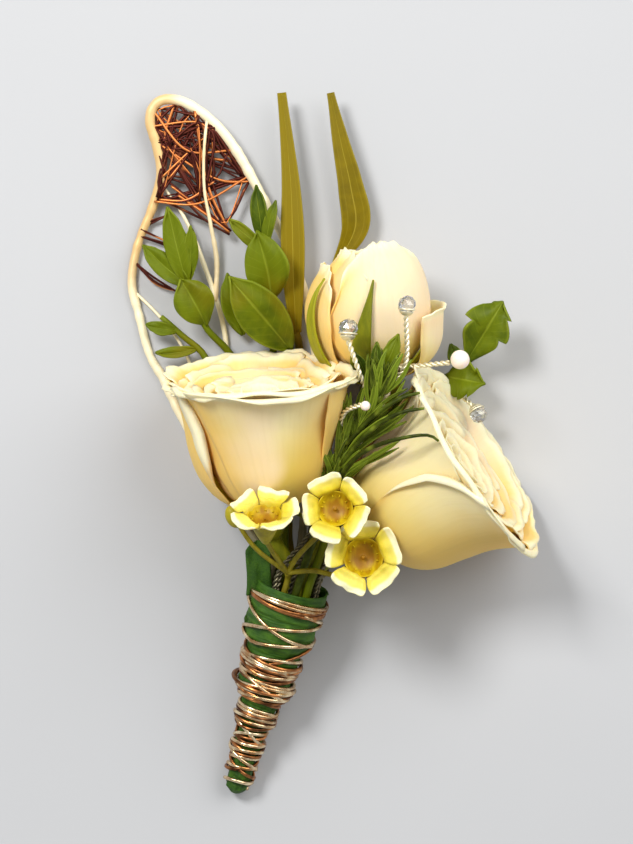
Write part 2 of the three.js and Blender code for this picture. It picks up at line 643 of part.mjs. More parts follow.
function fillerMiddle(flower) {
  const frame = fillerFrame(flower)
  const pieces = [standing(FILLER_DISC, 5, frame)]
  for (let k = 0; k < 5; k++) {
    const turn = degrees(72 * k + 36)
    const knob = new THREE.OctahedronGeometry(FILLER_KNOB_RADIUS)
    knob.translate(FILLER_KNOB_RING * Math.cos(turn), FILLER_KNOB_RING * Math.sin(turn), 0.25)
    pieces.push(solid(knob.applyMatrix4(frame)))
  }
  return fuse(pieces)
}

// The cups stand on one branched stem, with one closed bud beside them.
function fillerStems() {
  const trunk = seenAll([[-8.8, -24.2, 19.8]])
  const pieces = [rod(inSheath(trunk, [OUTER, outerSlot(4)]), FILLER_TRUNK_RADIUS, 5, 6)]
  for (const flower of FILLERS) {
    const frame = fillerFrame(flower)
    pieces.push(standing(FILLER_CUP, 7, frame))
    const foot = new THREE.Vector3(0, 0, -5).applyMatrix4(frame)
    pieces.push(rod([foot, ...seenAll(flower.stem), trunk[0]], FILLER_STEM_RADIUS, 4, 5))
  }
  const bud = seen(-19.2, -13.4, 22)
  pieces.push(rod([bud, ...seenAll([[-15, -19.4, 20.4]]), trunk[0]], FILLER_STEM_RADIUS, 4, 4))
  pieces.push(turned(FILLER_BUD, 7, bud, new THREE.Vector3(-0.3, 0.85, 0.4).normalize()))
  return fuse(pieces)
}

// Needles spring from a slim stem in the valley between the front roses.
const NEEDLE_CORE = [[9.2, 10, 29], [6, 4.4, 27], [2, -2.6, 25], [-1.8, -11.8, 22.4], [-4.6, -20.2, 19.4]]
// Each needle: its place along the stem, its direction from the right, its length and its rise.
const NEEDLES = [
  [0.02, 94, 9, 2], [0.06, 84, 10, 1], [0.02, 62, 9, 3], [0.1, 82, 9, 2.5], [0.16, 70, 11, 2],
  [0.2, 48, 11, 4], [0.26, 84, 9, 1.5], [0.3, 38, 12.2, 5.4], [0.36, 58, 12, 3.4], [0.42, 90, 10, 2],
  [0.46, 34, 14, 7.4], [0.52, 72, 11, 2.5], [0.56, 46, 12, 5], [0.6, 96, 8, 1.6], [0.64, 60, 11, 3.6],
]

const NEEDLE_STEM = 0.65
const NEEDLE_ROOT = 0.42
const NEEDLE_TIP = 0.3

function needleSpray() {
  const core = new THREE.CatmullRomCurve3(seenAll(NEEDLE_CORE), false, 'centripetal')
  const pieces = [rod(inSheath(seenAll(NEEDLE_CORE), [OUTER, outerSlot(3)]), NEEDLE_STEM, 4, 9)]
  for (const [along, direction, length, rise] of NEEDLES) {
    const from = core.getPoint(along)
    const turn = degrees(direction)
    const run = new THREE.Vector3(length * Math.cos(turn), length * Math.sin(turn), rise)
    const reach = run.length()
    const needle = new THREE.CylinderGeometry(NEEDLE_TIP, NEEDLE_ROOT, reach, 3)
    needle.translate(0, reach / 2, 0)
    const upright = new THREE.Vector3(0, 1, 0)
    needle.applyQuaternion(new THREE.Quaternion().setFromUnitVectors(upright, run.normalize()))
    needle.translate(from.x, from.y, from.z)
    pieces.push(solid(needle))
  }
  return fuse(pieces)
}

const PICK_WIRE = 0.42
const STONE = [
  [0, -0.95], [0.55, -0.78], [0.92, -0.3], [1, 0.15], [0.8, 0.55], [0.45, 0.82], [0, 0.9],
]
const PICKS = {
  stone_left: {
    head: [2.9, 22.8, 30], radius: 1.9, cut: true, slot: [OUTER, outerSlot(5)],
    wire: [
      [2.7, 20.2, 30], [5, 14.4, 30], [6.2, 10.6, 27.6], [4.2, 4, 22.6], [1, -4, 19.2], [-3.4, -15, 17.4],
    ],
  },
  stone_back: {
    head: [14.2, 27.4, 29.6], radius: 1.75, cut: true, slot: [INNER, 90],
    wire: [
      [14, 25, 29.4], [13.9, 16, 27], [11.4, 12, 24.6], [8, 5.4, 22.2], [4.1, -2, 19.8], [-0.6, -13, 16.8],
    ],
  },
  pearl_right: {
    head: [24.4, 16.8, 24.4], radius: 1.85, cut: false, slot: [OUTER, outerSlot(1)],
    wire: [
      [21.9, 16.1, 23.8], [16.4, 15.6, 22], [11.8, 15, 20.4], [8.4, 8.6, 18.8], [4.4, -1, 17.4],
      [0.6, -12, 16.4], [-1.2, -21, 17.2],
    ],
  },
  stone_right: {
    head: [28, 6.3, 8.4], radius: 1.75, cut: true, slot: [OUTER, outerSlot(0)],
    wire: [
      [25.6, 10.4, 6.6], [21, 12.4, 2.4], [16.6, 11, 1.4], [10.8, 4.2, 1], [5.4, -5, 2.2],
      [3.6, -12.5, 5.2], [2.4, -18.6, 9.4],
    ],
  },
  pearl_small: {
    head: [6.2, 7.9, 33.6], radius: 0.95, cut: false, slot: [INNER, 150],
    wire: [[5.4, 8.4, 32.2], [2.2, 6.6, 28.8], [1, 1, 24.8], [-2.4, -12.6, 19.2], [-5.6, -21, 17.4]],
  },
}

// A pick: a cut stone or a pearl on a wire that runs down into the sheath.
function pickParts({ head, radius, cut, slot, wire }) {
  const at = seen(...head)
  const path = inSheath(seenAll(wire), slot)
  const back = path[0].clone().sub(at).normalize()
  const seat = at.clone().addScaledVector(back, radius + (cut ? 0.1 : CLEARANCE))
  const gem = cut
    ? turned(STONE.map(([r, h]) => [r * radius, h * radius]), 8, at, back.clone().negate())
    : solid(new THREE.SphereGeometry(radius, 8, 6).translate(at.x, at.y, at.z))
  return { gem, wire: rod([seat, ...path.slice(1)], PICK_WIRE, 4, path.length + 5) }
}

const group = new THREE.Group()

function addNode(name, shape, colour, roughness = 0.7, metalness = 0) {
  const mesh = shape.getMesh()
  const geometry = new THREE.BufferGeometry()
  geometry.setAttribute('position', new THREE.BufferAttribute(Float32Array.from(mesh.vertProperties), 3))
  geometry.setIndex(Array.from(mesh.triVerts))
  geometry.computeVertexNormals()
  const material = new THREE.MeshStandardMaterial({ color: colour, roughness, metalness, flatShading: true })
  const node = new THREE.Mesh(geometry, material)
  node.name = name
  group.add(node)
}

for (const [side, rose] of Object.entries(ROSES)) {
  addNode(`rose_${side}_bloom`, roseBloom(rose), COLOURS.petal, 0.75)
  addNode(`rose_${side}_stem`, roseStem(rose), COLOURS.calyx)
}
addNode('tape', tape(), COLOURS.tape, 0.8)
addNode('gold_wire', goldWire(), COLOURS.gold, 0.35, 1)
addNode('copper_wire', copperWire(), COLOURS.copper, 0.35, 1)
for (const [name, plan] of Object.entries(SPRIGS)) addNode(name, sprig(plan), COLOURS.leaf, 0.5)
for (const [name, plan] of Object.entries(GRASS)) addNode(name, grassBlade(plan), COLOURS.grass, 0.5)
addNode('leaf_frame', leafFrame(), COLOURS.frame, 0.6)
addNode('copper_net', copperNet(), COLOURS.copper, 0.35, 1)
addNode('filler_stems', fillerStems(), COLOURS.cup, 0.6)
FILLERS.forEach((flower, k) => {
  addNode(`filler_${k + 1}_petals`, fillerPetals(flower), COLOURS.wax, 0.6)
  addNode(`filler_${k + 1}_middle`, fillerMiddle(flower), COLOURS.stamen, 0.6)
})
addNode('needle_spray', needleSpray(), COLOURS.needle, 0.5)
for (const [name, plan] of Object.entries(PICKS)) {
  const { gem, wire } = pickParts(plan)
  addNode(name, gem, plan.cut ? COLOURS.crystal : COLOURS.pearl, 0.15)
  addNode(`${name}_wire`, wire, COLOURS.wire, 0.35, 1)
}

export default group
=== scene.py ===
from math import cos, degrees, exp, hypot, log, pi, radians, sin
from random import random, sample, seed, uniform

import bmesh
import bpy
from bpy.props import FloatProperty, FloatVectorProperty, PointerProperty
from mathutils import Matrix, Vector, noise


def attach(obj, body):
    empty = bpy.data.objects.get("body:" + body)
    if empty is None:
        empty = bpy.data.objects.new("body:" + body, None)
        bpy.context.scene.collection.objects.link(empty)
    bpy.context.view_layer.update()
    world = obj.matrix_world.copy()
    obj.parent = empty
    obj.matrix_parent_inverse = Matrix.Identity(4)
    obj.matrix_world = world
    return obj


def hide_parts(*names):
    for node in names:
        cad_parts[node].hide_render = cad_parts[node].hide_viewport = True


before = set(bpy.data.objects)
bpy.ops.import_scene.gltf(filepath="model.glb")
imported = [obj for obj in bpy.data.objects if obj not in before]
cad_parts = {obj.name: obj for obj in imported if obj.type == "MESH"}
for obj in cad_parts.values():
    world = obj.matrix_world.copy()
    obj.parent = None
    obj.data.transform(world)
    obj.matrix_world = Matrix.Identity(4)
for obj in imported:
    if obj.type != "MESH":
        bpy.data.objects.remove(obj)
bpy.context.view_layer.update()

bl_info = {
    "name": "Boutonniere",
    "version": (1, 0, 0),
    "blender": (4, 5, 0),
    "location": "3D View > Sidebar > Boutonniere",
    "description": "Dresses a boutonniere of roses, small flowers, leaves, wires and picks",
    "category": "Object",
}

# Lengths below are in millimetres until a piece is finished. +Z points up from the table, +Y from the
# tip of the stems to the leaf frame. Places are measured across a level plane, as an eye high above the
# table sees them, and a point above or below that plane is moved along its line of sight.
MM = 0.001
EYE = Vector((-3.2, 4.8, 831))
MEASURING_PLANE = 20
FULL_TURN = 2 * pi
LOWEST = 0.15
FINE_STEPS = 12


def seen(x, y, z):
    near = (EYE.z - z) / (EYE.z - MEASURING_PLANE)
    return Vector((EYE.x + (x - EYE.x) * near, EYE.y + (y - EYE.y) * near, z))


def seen_all(points):
    return [seen(*point) for point in points]


def clamp(value, low=0.0, high=1.0):
    return max(low, min(high, value))


def ease(value, start, end):
    """0 before start and 1 after end, with a smooth rise between them."""
    t = clamp((value - start) / (end - start))
    return t * t * (3 - 2 * t)


def drift(*place):
    """A smooth random number from about -1 to 1 for a place given as up to three numbers."""
    return noise.noise(Vector((*place, 0.0, 0.0)[:3]))


def bridge(p, q, leaving, coming, w):
    """The place at w, from 0 to 1, on a smooth line from p to q with these slopes at its ends."""
    cube = (2 * p - 2 * q + leaving + coming) * w ** 3
    return cube + (3 * q - 3 * p - 2 * leaving - coming) * w ** 2 + leaving * w + p


def along(points, t):
    """The point at t, from 0 to 1, of a smooth line that gives each stretch the same share."""
    place = clamp(t) * (len(points) - 1)
    k = min(int(place), len(points) - 2)
    a, b, c, d = (points[min(max(k + step, 0), len(points) - 1)] for step in (-1, 0, 1, 2))
    return [bridge(q, r, (r - p) / 2, (s - q) / 2, place - k) for p, q, r, s in zip(a, b, c, d)]


def smooth(points, count):
    """Evenly spaced points on a smooth line that doesn't swing wide at its corners."""
    line = [2 * points[0] - points[1], *points, 2 * points[-1] - points[-2]]
    fine = []
    for k in range(len(points) - 1):
        a, b, c, d = line[k:k + 4]
        gaps = [max((q - p).length ** 0.5, 1e-4) for p, q in ((a, b), (b, c), (c, d))]
        leaving = ((b - a) / gaps[0] - (c - a) / (gaps[0] + gaps[1]) + (c - b) / gaps[1]) * gaps[1]
        coming = ((c - b) / gaps[1] - (d - b) / (gaps[1] + gaps[2]) + (d - c) / gaps[2]) * gaps[1]
        fine += [bridge(b, c, leaving, coming, step / FINE_STEPS) for step in range(FINE_STEPS)]
    fine.append(points[-1].copy())
    reach = [0.0]
    for p, q in zip(fine, fine[1:]):
        reach.append(reach[-1] + (q - p).length)
    found, at = [], 0
    for k in range(count + 1):
        goal = reach[-1] * k / count
        while at < len(fine) - 2 and reach[at + 1] < goal:
            at += 1
        part = (goal - reach[at]) / max(reach[at + 1] - reach[at], 1e-9)
        found.append(fine[at].lerp(fine[at + 1], clamp(part)))
    return found


# The sheath of tape runs from its mouth to its tip. A slot is a place across it, as a distance from its
# axis and an angle from the right. The slots' depths say how far down the stems in them go, and the
# tape's radii are given at depths from the mouth.
MOUTH = seen(-7.9, -26.5, 12.5)
TIP = seen(-19.2, -67.3, 1.8)
DOWN = (TIP - MOUTH).normalized()
RIGHT = Vector((-DOWN.y, DOWN.x, 0)).normalized()
UP = DOWN.cross(RIGHT)
INNER, OUTER, FRAME_SLOT = 2.95, 5.1, 4.8
OUTER_SLOTS = 14
ABOVE_MOUTH, BELOW_MOUTH = -2.5, 0.5
SLOT_DEPTHS = {0: 33, INNER: 15, OUTER: 5, FRAME_SLOT: 5.5}
TAPE_RADII = [(0, 6.9), (8, 6.6), (11, 6.1), (13.4, 5), (16, 4.8), (18.6, 4.4), (20.6, 4.8), (22.6, 4.1),
              (24.6, 3.1), (28, 2.9), (30.8, 2.1), (33.5, 2.2), (36, 1.9), (39, 2), (42, 1.7), (44, 1.2)]
TAPE_LENGTH = 44
TAPE_END = 1.2
TAPE_LAPS = 14
TAPE_LAP_RISE = 0.25
TAPE_THICKNESS = 0.4 * MM


def outer_slot(k):
    return OUTER, 360 / OUTER_SLOTS * k


def between(table, place):
    """The value at a place, by straight lines through a table of places and values."""
    for (start, low), (end, high) in zip(table, table[1:]):
        if place <= end:
            return low + (high - low) * (place - start) / (end - start)
    return table[-1][1]


def across(distance, angle, depth):
    """A point in the sheath, by its distance from the axis, angle and depth."""
    turn = radians(angle)
    return MOUTH + DOWN * depth + RIGHT * (distance * cos(turn)) + UP * (distance * sin(turn))


def in_sheath(points, slot):
    """A run of points led down into its slot in the sheath."""
    depths = (ABOVE_MOUTH, BELOW_MOUTH, SLOT_DEPTHS[slot[0]])
    return [*points, *(across(*slot, depth) for depth in depths)]


def around(radius, angle, height):
    """A point round the z axis, at an angle in radians."""
    return Vector((radius * cos(angle), radius * sin(angle), height))


def flower_frame(base, top, size=1.0):
    """A flower's own axes, from two places on its axis: x faces the eye and z runs out of the flower."""
    base, top = seen(*base), seen(*top)
    axis = (top - base).normalized()
    front = (Vector((0, 0, 1)) - axis * axis.z).normalized()
    axes = Matrix((front, axis.cross(front), axis)).transposed().to_4x4()
    return Matrix.Translation(base) @ axes @ Matrix.Scale(size, 4)


def lined_up(place, way):
    """The axes at a place whose z runs one way."""
    turn = Vector((0, 0, 1)).rotation_difference(way).to_matrix().to_4x4()
    return Matrix.Translation(place) @ turn


def new_piece():
    """An empty mesh with a map across each sheet and three values at each vertex for its colours."""
    bm = bmesh.new()
    bm.loops.layers.uv.new("UVMap")
    bm.verts.layers.float.new("tone")
    bm.verts.layers.float.new("depth")
    bm.verts.layers.float.new("warm")
    return bm


def mark(bm, verts, tone=0.5, depth=0.0):
    """Gives vertices a darker or lighter tone and how deep among the others they lie, both from 0 to 1."""
    tones, depths = bm.verts.layers.float["tone"], bm.verts.layers.float["depth"]
    for vert in verts:
        vert[tones] = tone
        vert[depths] = depth


def sheet(bm, surface, wide, long, tone, depth=0.0, warm=None):
    """A sheet of wide by long faces laid on surface(u, v), with u and v from 0 to 1."""
    made = bmesh.ops.create_grid(bm, x_segments=wide, y_segments=long, size=0.5, calc_uvs=True)["verts"]
    layer = bm.verts.layers.float["warm"]
    for vert in made:
        u, v = vert.co.x + 0.5, vert.co.y + 0.5
        vert.co = surface(u, v)
        if warm:
            vert[layer] = warm(u, v)
    mark(bm, made, tone, depth)
    return made


def rounded(profile, count):
    """Points on the smooth line through a profile of radius and height."""
    line = [along(profile, k / count) for k in range(count + 1)]
    return [(max(0, radius), height) for radius, height in line]


def turned(bm, profile, place, steps, tone=0.5):
    """A profile of radius and height spun round the z axis of place."""
    verts = [bm.verts.new((radius, 0, height)) for radius, height in profile]
    edges = [bm.edges.new(pair) for pair in zip(verts, verts[1:])]
    before = set(bm.faces)
    bmesh.ops.spin(bm, geom=verts + edges, cent=(0, 0, 0), axis=(0, 0, 1), angle=FULL_TURN, steps=steps,
                   use_merge=True)
    faces = [face for face in bm.faces if face not in before]
    made = list({vert for face in faces for vert in face.verts})
    bmesh.ops.remove_doubles(bm, verts=made, dist=1e-4)
    made = [vert for vert in made if vert.is_valid]
    faces = [face for face in faces if face.is_valid]
    bmesh.ops.recalc_face_normals(bm, faces=faces)
    bmesh.ops.transform(bm, matrix=place, verts=made)
    mark(bm, made, tone)
    return made


def tubes(bm, runs, sides, tone=0.5):
    """Round rods. Each run is a list of points and one radius, or a radius for each point."""
    curve = bpy.data.curves.new("run", "CURVE")
    curve.dimensions = "3D"
    curve.bevel_depth = 1.0
    curve.bevel_resolution = (sides - 4) // 2
    curve.use_fill_caps = True
    for points, radius in runs:
        spline = curve.splines.new("POLY")
        spline.points.add(len(points) - 1)
        radii = radius if isinstance(radius, list) else [radius] * len(points)
        for bead, point, thick in zip(spline.points, points, radii):
            bead.co = (*point, 1.0)
            bead.radius = thick
    holder = bpy.data.objects.new("run", curve)
    mesh = bpy.data.meshes.new_from_object(holder)
    before = set(bm.verts)
    bm.from_mesh(mesh)
    made = [vert for vert in bm.verts if vert not in before]
    bmesh.ops.remove_doubles(bm, verts=made, dist=1e-5)
    made = [vert for vert in made if vert.is_valid]
    mark(bm, made, tone)
    bpy.data.objects.remove(holder)
    bpy.data.curves.remove(curve)
    bpy.data.meshes.remove(mesh)
    return made


def finish_piece(bm, name, nodes, material, thickness=0.0, flat=False):
    """Turns the mesh into an object in metres that stands for its nodes of the frame."""
    for vert in bm.verts:
        vert.co.z = max(vert.co.z, LOWEST)
    bmesh.ops.scale(bm, vec=(MM, MM, MM), verts=bm.verts)
    mesh = bpy.data.meshes.new(name)
    bm.to_mesh(mesh)
    bm.free()
    mesh.polygons.foreach_set("use_smooth", [not flat] * len(mesh.polygons))
    piece = bpy.data.objects.new(name, mesh)
    bpy.context.scene.collection.objects.link(piece)
    piece.data.materials.append(material)
    if thickness:
        wall = piece.modifiers.new("Thickness", "SOLIDIFY")
        wall.thickness = thickness
        wall.offset = 0.0
    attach(piece, "root")
    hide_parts(*nodes)


class Value:
    """A shader socket that can be written in sums."""

    def __init__(self, paint, socket):
        self.paint = paint
        self.socket = socket

    def sum(self, operation, *values):
        return self.paint.node("ShaderNodeMath", {"operation": operation}, dict(enumerate(values)))

    def __add__(self, other):
        return self.sum("ADD", self, other)

    def __radd__(self, other):
        return self.sum("ADD", other, self)

    def __sub__(self, other):
        return self.sum("SUBTRACT", self, other)

    def __rsub__(self, other):
        return self.sum("SUBTRACT", other, self)

    def __mul__(self, other):
        return self.sum("MULTIPLY", self, other)

    def __rmul__(self, other):
        return self.sum("MULTIPLY", other, self)

    def __neg__(self):
        return self.sum("MULTIPLY", self, -1.0)

    def __abs__(self):
        return self.sum("ABSOLUTE", self)

    def sine(self):
        return self.sum("SINE", self)


class Paint:
    """A material while it is made up."""

    def __init__(self, name):
        self.material = bpy.data.materials.new(name)
        self.material.use_nodes = True
        self.tree = self.material.node_tree
        self.shader = self.tree.nodes["Principled BSDF"]

    def node(self, kind, settings=None, inputs=None, output=0):
        made = self.tree.nodes.new(kind)
        for key, value in (settings or {}).items():
            setattr(made, key, value)
        for key, value in (inputs or {}).items():
            self.feed(made.inputs[key], value)
        return Value(self, made.outputs[output])

    def feed(self, socket, value):
        if isinstance(value, Value):
            self.tree.links.new(value.socket, socket)
        else:
            socket.default_value = value

    def place(self):
        return self.node("ShaderNodeTexCoord", output="Object")

    def map(self):
        both = self.node("ShaderNodeTexCoord", output="UV")
        split = self.node("ShaderNodeSeparateXYZ", {}, {0: both})
        return split, Value(self, split.socket.node.outputs[1])

    def attribute(self, name):
        return self.node("ShaderNodeAttribute", {"attribute_name": name}, output="Fac")

    def vector(self, x, y, z=0.0):
        return self.node("ShaderNodeCombineXYZ", {}, {0: x, 1: y, 2: z})

    def cloud(self, place, scale, detail, roughness=0.5):
        return self.node("ShaderNodeTexNoise", {},
                         {"Vector": place, "Scale": scale, "Detail": detail, "Roughness": roughness})

    def step(self, value, start, end):
        settings = {"interpolation_type": "SMOOTHSTEP"}
        return self.node("ShaderNodeMapRange", settings, {"Value": value, "From Min": start, "From Max": end})

    def blend(self, factor, a, b):
        return self.node("ShaderNodeMix", {"data_type": "RGBA"}, {0: factor, 6: a, 7: b}, output=2)

    def bump(self, height, distance, strength):
        return self.node("ShaderNodeBump", {}, {"Height": height, "Distance": distance, "Strength": strength})

    def finish(self, **sockets):
        for key, value in sockets.items():
            self.feed(self.shader.inputs[key.replace("_", " ")], value)
        return self.material


# The olive of ripe patches, and the painted shade of wires that lie among the stems.
RIPE = (0.17, 0.135, 0.002, 1.0)
SHADE_AMONG_STEMS = (0.05, 0.042, 0.008, 1.0)


def rgba(colour, gain=1.0):
    return tuple(channel * gain for channel in colour[:3]) + (1.0,)


def petal_paint(name, body, foot, lip, blush, shade, dusk, pale_from=0.8, foot_and_shade_top=0.1):
    """A petal: yellow-green at its foot, cream above with warm patches, paler at the lip, finely veined, with
    painted shade on its sides and between the inner petals. The warm value gives painted shade on the side
    that is turned from the light, and below 0 an edge that is folded back. As shares of the height, the
    foot's colour is full up to the given top, which a rose may raise to paint shade on its lower part, and
    the lip's starts at pale_from."""
    paint = Paint(name)
    u, v = paint.map()
    place = paint.place()
    tone, depth, warm = (paint.attribute(name) for name in ("tone", "depth", "warm"))
    broad = paint.cloud(place, 48.0, 1.0)
    patches = paint.cloud(place, 150.0, 3.0)
    fibres = paint.cloud(paint.vector(u * 46.0, v * 3.2, tone * 17.0), 1.0, 4.0, 0.6)
    side = abs(u - 0.5) * 2.0
    colour = paint.blend(paint.step(v + (broad - 0.5) * 0.3, foot_and_shade_top, 0.74), rgba(foot), rgba(body))
    colour = paint.blend(paint.step(broad, 0.46, 0.62) * 0.75, colour, rgba(blush))
    # Painted shade on the petals' sides.
    colour = paint.blend(paint.step(side + patches * 0.2, 0.86, 1.1) * 0.5, colour, rgba(shade))
    # Painted shade deeper in the rose, between its petals.
    colour = paint.blend(paint.step(depth + patches * 0.5, 0.35, 1.1) * 0.5, colour, rgba(shade, 1.35))
    # Painted shade on the side turned from the light.
    colour = paint.blend(paint.step(warm + patches * 0.2, 0.2, 0.9) * 0.92, colour, rgba(dusk))
    pale = paint.step(v + (patches - 0.5) * 0.16, pale_from, pale_from + 0.17)
    colour = paint.blend(pale * 0.9, colour, rgba(lip))
    colour = paint.blend(paint.step(-warm, 0.0, 0.7) * 0.95, colour, rgba(lip))
    colour = paint.blend(paint.step(fibres, 0.42, 0.75) * 0.08, colour, rgba(shade))
    colour = paint.blend(tone * 0.1, colour, rgba(body, 0.86))
    relief = fibres * 0.5 + paint.cloud(place, 900.0, 2.0) * 0.25
    return paint.finish(
        Base_Color=colour, Roughness=0.5 + patches * 0.16, Normal=paint.bump(relief, 0.00018, 0.5),
        Subsurface_Weight=0.3, Subsurface_Radius=(1.0, 0.6, 0.25), Subsurface_Scale=0.0022,
        Sheen_Weight=0.04, Specular_IOR_Level=0.22)


def leaf_paint(name, dark, light, rib, rough, veins=9.0, ripe=0.0):
    """A leaf blade: a pale midrib, side veins that bend towards the tip, mottled green and, by the share
    called ripe, olive patches."""
    paint = Paint(name)
    u, v = paint.map()
    place = paint.place()
    tone = paint.attribute("tone")
    side = abs(u - 0.5) * 2.0
    mottle = paint.cloud(place, 210.0, 4.0, 0.6)
    colour = paint.blend(paint.step(mottle * 0.9 + tone * 0.5, 0.36, 0.9), rgba(dark), rgba(light))
    patches = paint.cloud(place, 90.0, 1.0)
    colour = paint.blend(paint.step(patches, 0.5, 0.74) * ripe, colour, RIPE)
    middle = 1.0 - paint.step(side, 0.0, 0.1)
    wave = abs(((v * veins - side * 1.7) * pi).sine())
    branch = (1.0 - paint.step(wave, 0.03, 0.3)) * paint.step(side, 0.05, 0.3) * 0.09
    colour = paint.blend(branch + middle * 0.4, colour, rgba(rib))
    colour = paint.blend(paint.step(side, 0.88, 1.0) * 0.3, colour, rgba(rib))
    relief = mottle * 0.3 - branch - middle * 0.8
    return paint.finish(
        Base_Color=colour, Roughness=rough + mottle * 0.15, Normal=paint.bump(relief, 0.00022, 0.6),
        Subsurface_Weight=0.06, Subsurface_Radius=(0.6, 1.0, 0.1), Subsurface_Scale=0.001,
        Specular_IOR_Level=0.14)


def stem_paint(name, dark, light, rough):
    """A stem or calyx: streaks of two greens along it and fine specks."""
    paint = Paint(name)
    place = paint.place()
    tone = paint.attribute("tone")
    streak = paint.cloud(paint.node("ShaderNodeVectorMath", {"operation": "MULTIPLY"},
                                    {0: place, 1: (900.0, 160.0, 900.0)}), 1.0, 3.0)
    speck = paint.cloud(place, 1600.0, 2.0)
    colour = paint.blend(paint.step(streak * 0.7 + tone * 0.4, 0.25, 0.8), rgba(dark), rgba(light))
    colour = paint.blend(paint.step(speck, 0.62, 0.78) * 0.3, colour, rgba(dark, 0.6))
    return paint.finish(Base_Color=colour, Roughness=rough + streak * 0.2,
                        Normal=paint.bump(streak * 0.6 + speck * 0.3, 0.00015, 0.6),
                        Subsurface_Weight=0.05, Subsurface_Radius=(0.5, 1.0, 0.2), Subsurface_Scale=0.0008,
                        Specular_IOR_Level=0.25)


def tape_paint(name, dark, light):
    """Stretched floral tape: dark waxed green with crinkles across it and paler scuffs on the folds."""
    paint = Paint(name)
    u, v = paint.map()
    place = paint.place()
    crinkle = paint.cloud(paint.vector(u * 9.0, v * 70.0), 1.0, 5.0, 0.65)
    scuff = paint.cloud(place, 420.0, 4.0, 0.6)
    colour = paint.blend(paint.step(crinkle * 0.6 + scuff * 0.5, 0.35, 0.75), rgba(dark), rgba(light))
    colour = paint.blend(paint.step(scuff, 0.6, 0.8) * 0.4, colour, rgba(light, 1.7))
    return paint.finish(Base_Color=colour, Roughness=0.38 + scuff * 0.3,
                        Normal=paint.bump(crinkle + scuff * 0.4, 0.0004, 0.8), Specular_IOR_Level=0.3)


def wire_paint(name, colour, shade, rough, metal=1.0, patches=180.0):
    """Drawn wire: bright with darker stretches and a fine grain. Parts of tone 0 are mostly in the darker
    colour, which on the windings, the net and the pick wires is painted shade, and parts of depth 1 take the
    painted shade of wires that lie among the stems.
    """
    paint = Paint(name)
    place = paint.place()
    stretch = paint.cloud(place, patches, 2.0)
    grain = paint.cloud(place, 2600.0, 2.0)
    tone = paint.attribute("tone")
    metal_colour = paint.blend(paint.step(stretch * 0.7 + tone * 0.6, 0.38, 0.74), rgba(shade), rgba(colour))
    metal_colour = paint.blend(paint.attribute("depth") * 0.85, metal_colour, SHADE_AMONG_STEMS)
    return paint.finish(Base_Color=metal_colour, Metallic=metal, Roughness=rough + grain * 0.15,
                        Normal=paint.bump(grain, 0.00005, 0.4))


def tint(name, description, default):
    return FloatVectorProperty(name=name, description=description, subtype="COLOR", size=3, min=0, max=1,
                               default=default)


def wall(description, default):
    return FloatProperty(name="Thickness", description=description, unit="LENGTH", min=0.0001,
                         default=default)


class RoseColours(bpy.types.PropertyGroup):
    body: tint("Petal", "Colour of the petals between foot and lip", (1.0, 0.83, 0.46))
    # The petals' own foot colour, made darker as painted shade on the roses' lower parts.
    foot: tint("Foot", "Colour of the petals where they leave the calyx", (0.72, 0.48, 0.085))
    lip: tint("Lip", "Colour of the petals' upper edges", (0.97, 0.89, 0.58))
    blush: tint("Blush", "Colour of the broad warm patches", (0.97, 0.71, 0.47))
    # Painted shade on the petals' sides and in the depth between them.
    shade: tint("Shade", "Colour of the petals' sides and of the depth between them", (0.60, 0.36, 0.07))
    dusk: tint("Dusk", "Colour of the side that is turned from the light", (0.98, 0.58, 0.13))
    thickness: wall("Thickness of a petal", 0.00024)
    ruffle: FloatProperty(name="Ruffle", description="How far the petals' lips wave, in millimetres", min=0,
                          default=1.0)


class GreenColours(bpy.types.PropertyGroup):
    leaf: tint("Leaf", "Darker green of the sprigs", (0.027, 0.056, 0.001))
    leaf_light: tint("Leaf, light", "Lighter green of the sprigs", (0.118, 0.156, 0.002))
    grass: tint("Grass", "Colour of the grass blades", (0.205, 0.150, 0.001))
    needle: tint("Needles", "Colour of the needles", (0.034, 0.048, 0.003))
    thickness: wall("Thickness of a leaf", 0.0004)


class BindingColours(bpy.types.PropertyGroup):
    tape: tint("Tape", "Darker green of the tape", (0.012, 0.058, 0.004))
    tape_light: tint("Tape, light", "Lighter green of the tape", (0.060, 0.155, 0.008))
    gold: tint("Gold wire", "Colour of the gold wire", (0.98, 0.82, 0.54))
    copper: tint("Copper wire", "Colour of the copper wire", (0.70, 0.29, 0.10))
    covered: tint("Covered wire", "Colour of the leaf frame's covered wire", (0.98, 0.88, 0.60))
    worn: tint("Worn patches", "Colour where the covering has worn", (0.78, 0.52, 0.22))
    net: tint("Net", "Colour of the net's bright strands", (0.72, 0.25, 0.07))
    # The net's dark strands are painted shade of its shadowed crossings.
    net_shade: tint("Net, dark", "Colour of the net's dark strands", (0.085, 0.016, 0.010))


class PickColours(bpy.types.PropertyGroup):
    wire: tint("Pick wire", "Colour of the twisted wires", (0.86, 0.80, 0.58))
    pearl: tint("Pearl", "Colour of the pearls", (0.90, 0.72, 0.60))
    stone: tint("Stone", "Tint of the clear stones", (0.86, 0.88, 0.92))


class StageSettings(bpy.types.PropertyGroup):
    floor: tint("Floor", "Colour of the floor", (0.455, 0.469, 0.492))
    key: FloatProperty(name="Key light", description="Power of the light from the upper left", min=0,
                       unit="POWER", default=5.5)
    fill: FloatProperty(name="Fill light", description="Power of the wide light from the upper right", min=0,
                        unit="POWER", default=6.4)
    sky: FloatProperty(name="Sky", description="Strength of the even light all round", min=0, default=0.42)


